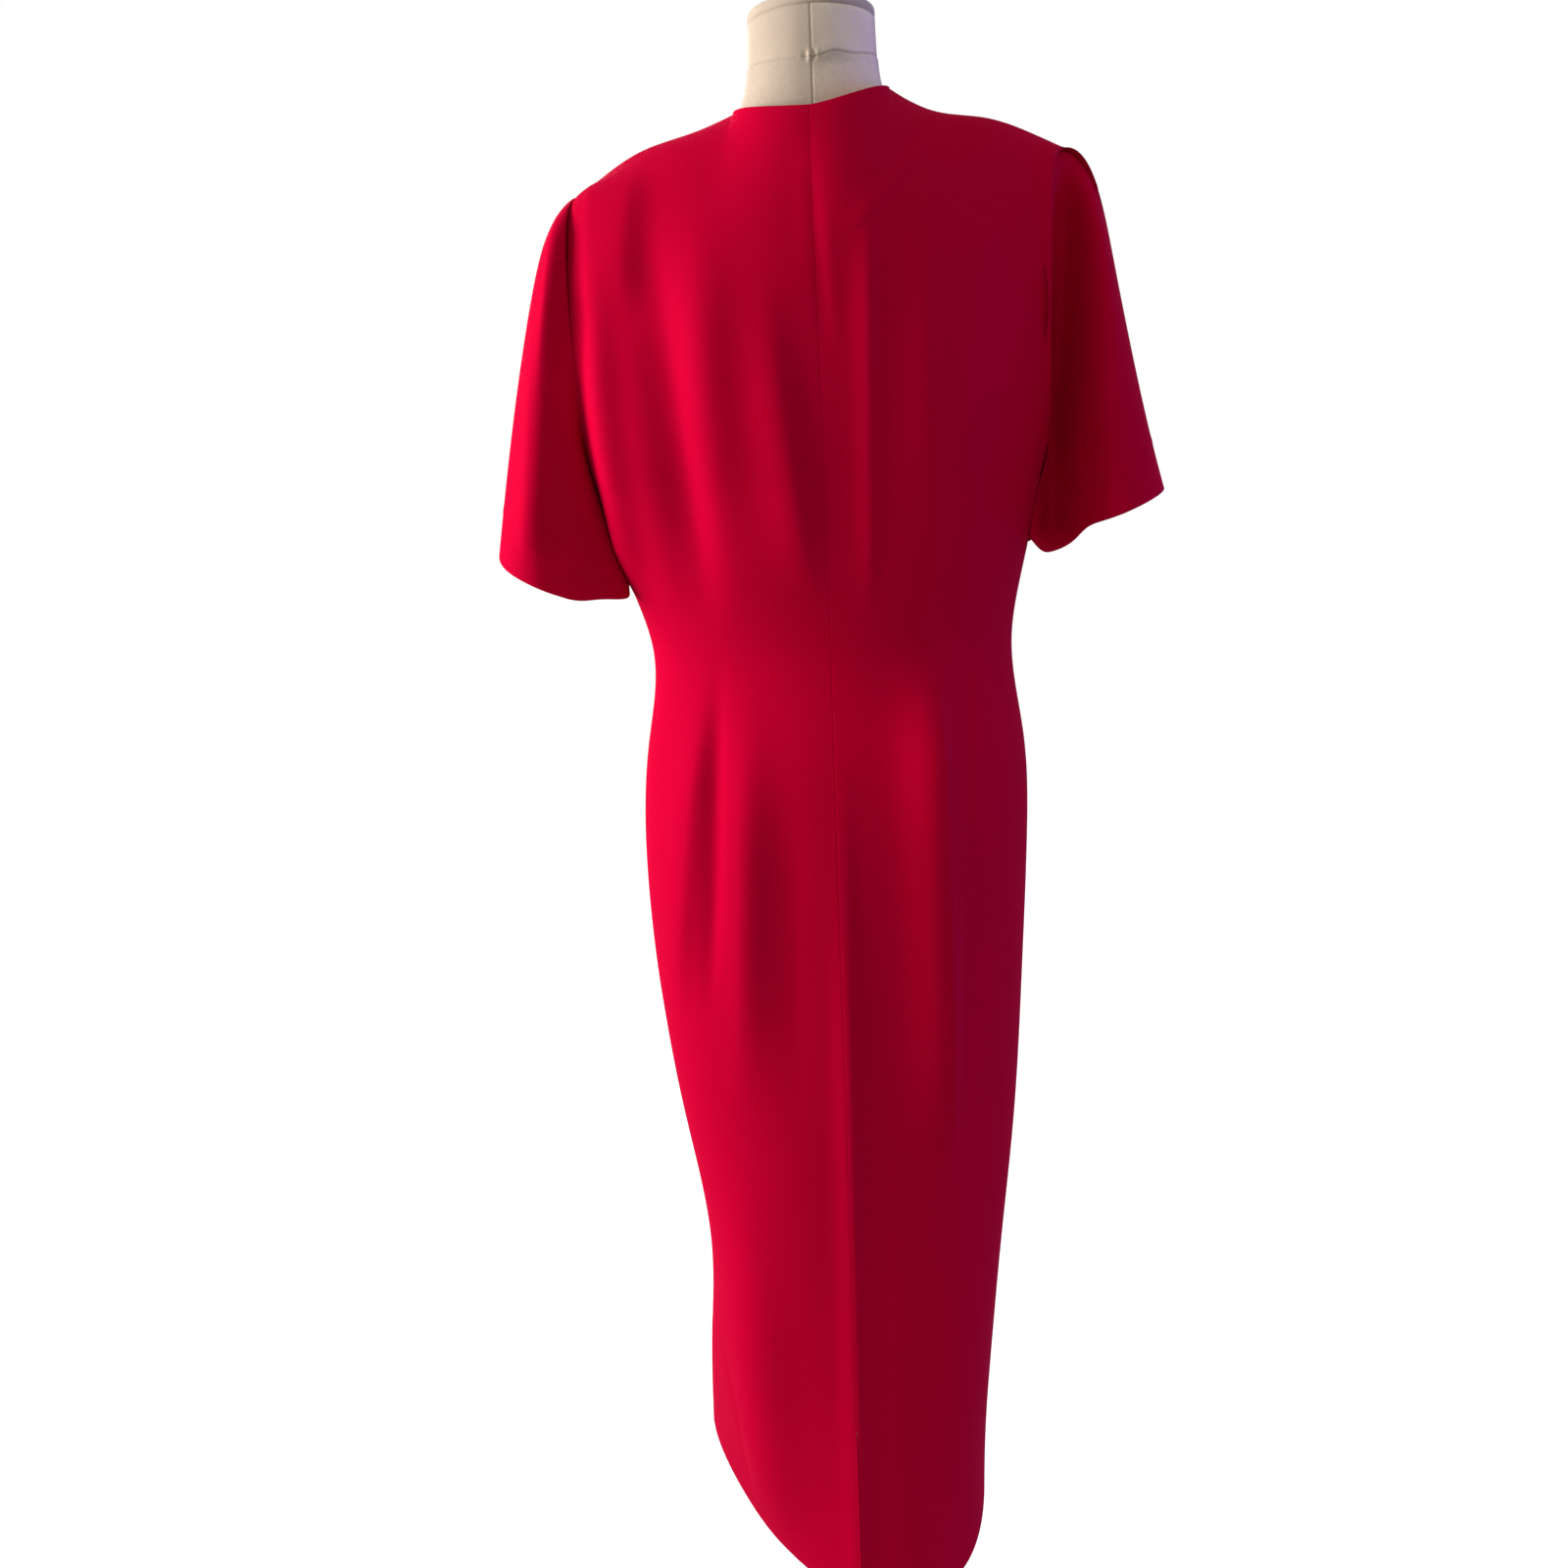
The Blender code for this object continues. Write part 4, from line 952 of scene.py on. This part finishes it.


# The covered form with its ends closed. A groove runs where the neck's smooth cover meets the coarse
# one, at a height that changes with the square of the sine, and one down the back and the front.
# Returned with the shares of coarse cover, of painted seam shade, and of the painted light that grows
# towards the right.
def formShell():
    cut, dark = formCut, coverShade
    bottom, top = cut["rows"][0][0] + cut["bottomEdge"], cut["rows"][-1][0]
    close = (cut["closeLevel"] - bottom) / (top - bottom)
    level = bottom + (top - bottom) * densely(cut["levels"], near=(close,), height=16, width=0.022)
    angle = 2 * math.pi * densely(cut["around"], near=(0, 0.5, 1), height=14, width=0.008)[:-1]
    points = formPoints(level[:, None] + 0 * angle, angle + 0 * level[:, None])
    normals = outwardNormals(points, aroundTube=True)
    x = points[..., 0]
    ring = cut["neckRing"]
    middle = np.where(np.cos(angle) > 0, ring["back"], ring["front"])
    end = np.where(np.sin(angle) > 0, ring["left"], ring["right"])
    toBack = softStep(np.cos(angle) * 2)
    height = level[:, None] - middle - (end - middle) * np.sin(angle)**2
    dip, dipAt, dipWidth = cut["ringDip"]
    height = height - dip * bell(x - dipAt, dipWidth) * toBack
    groove = bell(height, cut["ringWidth"])
    down = bell(x, cut["seamWidth"])
    under = softStep(0.5 - height / cut["stepWidth"])
    step = cut["coverStep"] * under * softStep(1 + height / cut["stepFade"])
    pinch, wide, tall, centre, waves = cut["pinch"]
    crossing = bell(x, wide) * bell(height - centre, tall) * (np.cos(angle) > 0)
    out = step - cut["ringDepth"] * groove - cut["seamDepth"] * down
    out = out + pinch * crossing * np.sin(x * waves)
    points = points + normals * out[..., None]
    x = points[..., 0]
    rightward = softStep(0.5 - x / dark["rightWidth"])
    shadow, up, tall, place, wide = dark["shadow"]
    shadow = shadow * bell(height - up, tall) * bell(x - place, wide) * toBack
    # painted shade in the seams, more on the right away from the key light, plus the painted shadow
    shade = groove * (dark["ring"] + dark["ringRight"] * rightward) + dark["middle"] * down
    shade = np.clip(shade + shadow, 0, 1)
    # painted light: share of the lighter right-side cream, rising towards the right in the back
    tint = softStep((dark["paintedLightFrom"] - x) / dark["paintedLightWidth"])
    paintedLightShare = dark["frontPaintedLight"] + (tint - dark["frontPaintedLight"]) * toBack
    bend = np.radians(np.linspace(90, 0, cut["edgeRows"] + 1)[:-1, None])
    inset = cut["bottomEdge"] * (1 - np.cos(bend))
    shrink = 1 - inset / np.linalg.norm(points[0, :, :2], axis=-1)
    edge = np.stack([points[0, :, 0] * shrink, points[0, :, 1] * shrink,
                     bottom - cut["bottomEdge"] * np.sin(bend) + 0 * angle], -1)
    footShares, topShares = (np.array(cut[key])[:, None, None] for key in ("footRows", "topRows"))
    floorRows = edge[:1] * (footShares * (1, 1, 0) + (0, 0, 1))
    capRows = points[-1:] * (topShares * (1, 1, 0) + (0, 0, 1))
    shell = np.concatenate([floorRows, edge, points, capRows])
    padded = ((len(floorRows) + len(edge), len(capRows)), (0, 0))
    marks = {"coarse": under, "seamShade": shade, "paintedLightShare": paintedLightShare}
    return shell, {key: np.pad(values, padded, mode="edge") for key, values in marks.items()}


# Each mark as a number on every point, for the material to read.
def setMarks(piece, marks):
    for name, values in marks.items():
        layer = piece.data.attributes.new(name, "FLOAT", "POINT")
        layer.data.foreach_set("value", values.astype(np.float32).ravel())


shell, marks = formShell()
outwards = shell * (1, 1, 0) + (0, 0, 1e-6)
formCover = gridPiece("form_torso_cover", shell, outwards, linen, closed=True)
setMarks(formCover, marks)
closeEnds(formCover)
standsFor(formCover, "form_torso")


# Each inner corner of a profile swapped for a short quadratic curve that starts a radius before it and
# ends a radius past it, or at the most's share of the side.
def roundedProfile(profile, radius, steps=5, most=0.45):
    p = np.array(profile, float)
    before, corner, after = p[:-2], p[1:-1], p[2:]
    back, on = before - corner, after - corner
    backLength = np.linalg.norm(back, axis=1, keepdims=True)
    onLength = np.linalg.norm(on, axis=1, keepdims=True)
    first = corner + back * np.minimum(radius / backLength, most)
    last = corner + on * np.minimum(radius / onLength, most)
    t = np.linspace(0, 1, steps)[None, :, None]
    bends = (1 - t)**2 * first[:, None] + 2 * t * (1 - t) * corner[:, None] + t**2 * last[:, None]
    return np.concatenate([p[:1], bends.reshape(-1, 2), p[-1:]])


# A profile of (radius, height) turned round the given axis from its foot.
def turnedPiece(name, profile, foot, axis, segments, material):
    axis = np.array(axis, float) / np.linalg.norm(axis)
    side = np.cross(axis, (0, 1.0, 0.3))  # any direction across the axis
    side = side / np.linalg.norm(side)
    other = np.cross(axis, side)
    angle = np.linspace(0, 2 * math.pi, segments, endpoint=False)
    circle = np.cos(angle)[:, None] * side + np.sin(angle)[:, None] * other
    out = profile[:, :1, None] * circle + profile[:, 1:, None] * axis
    piece = gridPiece(name, foot + out, out, material, closed=True)
    closeEnds(piece)
    return piece


neckCapCut = {
    "rounding": 0.044,  # of its edges, as a share of the radius
    "around": 120,
}
# the neck's flat cap: the form's top level with a rounded edge, closed above and below
low, high = (corner[2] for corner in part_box("form_neck_cap"))
capProfile = [(0, low), (1, low), (1, high), (0.5, high), (0, high)]
capProfile = roundedProfile(capProfile, neckCapCut["rounding"])
capAngle = np.linspace(0, 2 * math.pi, neckCapCut["around"], endpoint=False)
capOval = formPoints(np.array([[formCut["rows"][-1][0]]]), capAngle[None, :])[0]
cap = capOval[None] * (1, 1, 0) * capProfile[:, :1, None] + (0, 0, 1) * capProfile[:, 1:, None]
capPiece = gridPiece("form_neck_cap_cover", cap, cap * (1, 1, 0), linen, closed=True)
closeEnds(capPiece)
standsFor(capPiece, "form_neck_cap")
print("dress form done")

buttonCut = {
    "radius": 0.011,
    "segments": 56,
    # shares of the radius, and heights in metres: flat back, rounded rim, shallow dish, low dome
    "profile": [(0, 0), (0.88, 0), (0.97, 0.0007), (1, 0.0014), (0.985, 0.0022), (0.93, 0.0027),
                (0.86, 0.0026), (0.78, 0.0023), (0.7, 0.0024), (0.55, 0.003), (0.35, 0.0036),
                (0.15, 0.0039), (0, 0.004)],
    "rounding": 0.06,
    "steps": 4,
}
frontRows = panels["front_right"]
frontColumn = int(np.abs(frontRows[lowerRows // 2, :, 0]).argmin())
buttonProfile = roundedProfile(buttonCut["profile"], buttonCut["rounding"], buttonCut["steps"])
buttonProfile = buttonProfile * (buttonCut["radius"], 1)
for name in sorted(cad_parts):
    if not name.startswith("button"):
        continue
    lowCorner, highCorner = (np.array(corner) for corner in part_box(name))
    place = (lowCorner + highCorner) / 2
    row = int(np.abs(frontRows[:, frontColumn, 2] - place[2]).argmin())
    outFrom = panelNormals["front_right"][row, frontColumn]
    foot = place - outFrom * buttonCut["profile"][-1][1] / 2
    button = turnedPiece(name + "_turned", buttonProfile, foot, outFrom, buttonCut["segments"],
                         buttonRed)
    standsFor(button, name)
print("buttons done")

# Profiles as (radius, height).
standCut = {
    "base": [(0, 0), (0.13, 0), (0.132, 0.002), (0.132, 0.01), (0.127, 0.0145), (0.08, 0.0175),
             (0.04, 0.02), (0, 0.02)],
    "pole": [(0, 0.0203), (0.027, 0.0203), (0.027, 0.025), (0.018, 0.028), (0.018, 0.06),
             (0.015, 0.062), (0.015, 0.74), (0.022, 0.744), (0.022, 0.7747), (0, 0.7747)],
    "rounding": 0.0012,
    "segments": 96,
}
for node in ("base", "pole"):
    profile = roundedProfile(standCut[node], standCut["rounding"])
    standPiece = turnedPiece("stand_" + node + "_turned", profile, (0, 0, 0), (0, 0, 1),
                             standCut["segments"], standPaint)
    standsFor(standPiece, "stand_" + node)
print("stand done")


studio = {
    "floorReach": 12.0,
    "floorColour": (0.36, 0.36, 0.365),
    "floorGlow": 0.8,  # seen by the camera alone
    "worldLight": 0.5,
    # place, aim, size, power and colour of each light
    "lights": {
        "key light": ((2.3, 0.31, 1.6), (0, 0, 1.55), (0.9, 1.2), 85, (1.0, 0.95, 0.92)),
        "violet light": ((-2.2, -0.2, 1.2), (0, 0, 0.95), (0.8, 1.6), 20, (0.02, 0, 1.0)),
        "front light": ((0.6, -2.8, 2.2), (0, 0, 0.95), (2.0, 2.0), 45, (1.0, 1.0, 1.0)),
    },
}
for name, (place, aim, size, power, colour) in studio["lights"].items():
    lamp = bpy.data.lights.new(name, "AREA")
    lamp.shape = "RECTANGLE"
    lamp.size, lamp.size_y = size
    lamp.energy = power
    lamp.color = colour
    light = newObject(name, lamp)
    light.location = place
    light.rotation_euler = (Vector(aim) - Vector(place)).to_track_quat("-Z", "Y").to_euler()

floorMaterial, floorTree, floorShader = newMaterial("pale floor")
floorRays = addNode(floorTree, "LightPath", {}).outputs["Is Camera Ray"]
setInputs(floorTree, floorShader, {
    "Base Color": (*studio["floorColour"], 1),
    "Roughness": 0.9,
    "Emission Color": (1, 1, 1, 1),
    "Emission Strength": addMath(floorTree, "MULTIPLY", floorRays, studio["floorGlow"]),
})
corners = np.array([(-1, -1, 0), (1, -1, 0), (1, 1, 0), (-1, 1, 0)]) * studio["floorReach"]
floor = newPiece("floor", corners, np.array([[0, 1, 2, 3]]), floorMaterial)

world = bpy.data.worlds.new("studio")
bpy.context.scene.world = world
world.use_nodes = True
worldRays = addNode(world.node_tree, "LightPath", {}).outputs["Is Camera Ray"]
brightness = addNode(world.node_tree, "MapRange",
                     {"Value": worldRays, "To Min": studio["worldLight"], "To Max": 1.0})
setInputs(world.node_tree, world.node_tree.nodes["Background"],
          {"Color": (1, 1, 1, 1), "Strength": brightness.outputs["Result"]})
bpy.context.scene.view_settings.view_transform = "Standard"

viewpoint = {
    "place": (-0.01355, 1.15463, 1.20178),
    "pitch": 12.771,  # degrees below level
    "yaw": 3.04,
    "roll": -2.459,
    "lens": 30.0,
    "sensor": 36,
}
pitch, yaw, roll = (math.radians(viewpoint[key]) for key in ("pitch", "yaw", "roll"))
forward = Vector((math.sin(yaw) * math.cos(pitch), -math.cos(yaw) * math.cos(pitch), -math.sin(pitch)))
aimed = forward.to_track_quat("-Z", "Y").to_matrix().to_4x4()
camera = newObject("camera", bpy.data.cameras.new("camera"))
camera.data.lens = viewpoint["lens"]  # both in millimetres
camera.data.sensor_width = viewpoint["sensor"]
camera.matrix_world = Matrix.Translation(viewpoint["place"]) @ aimed @ Matrix.Rotation(roll, 4, "Z")
bpy.context.scene.camera = camera
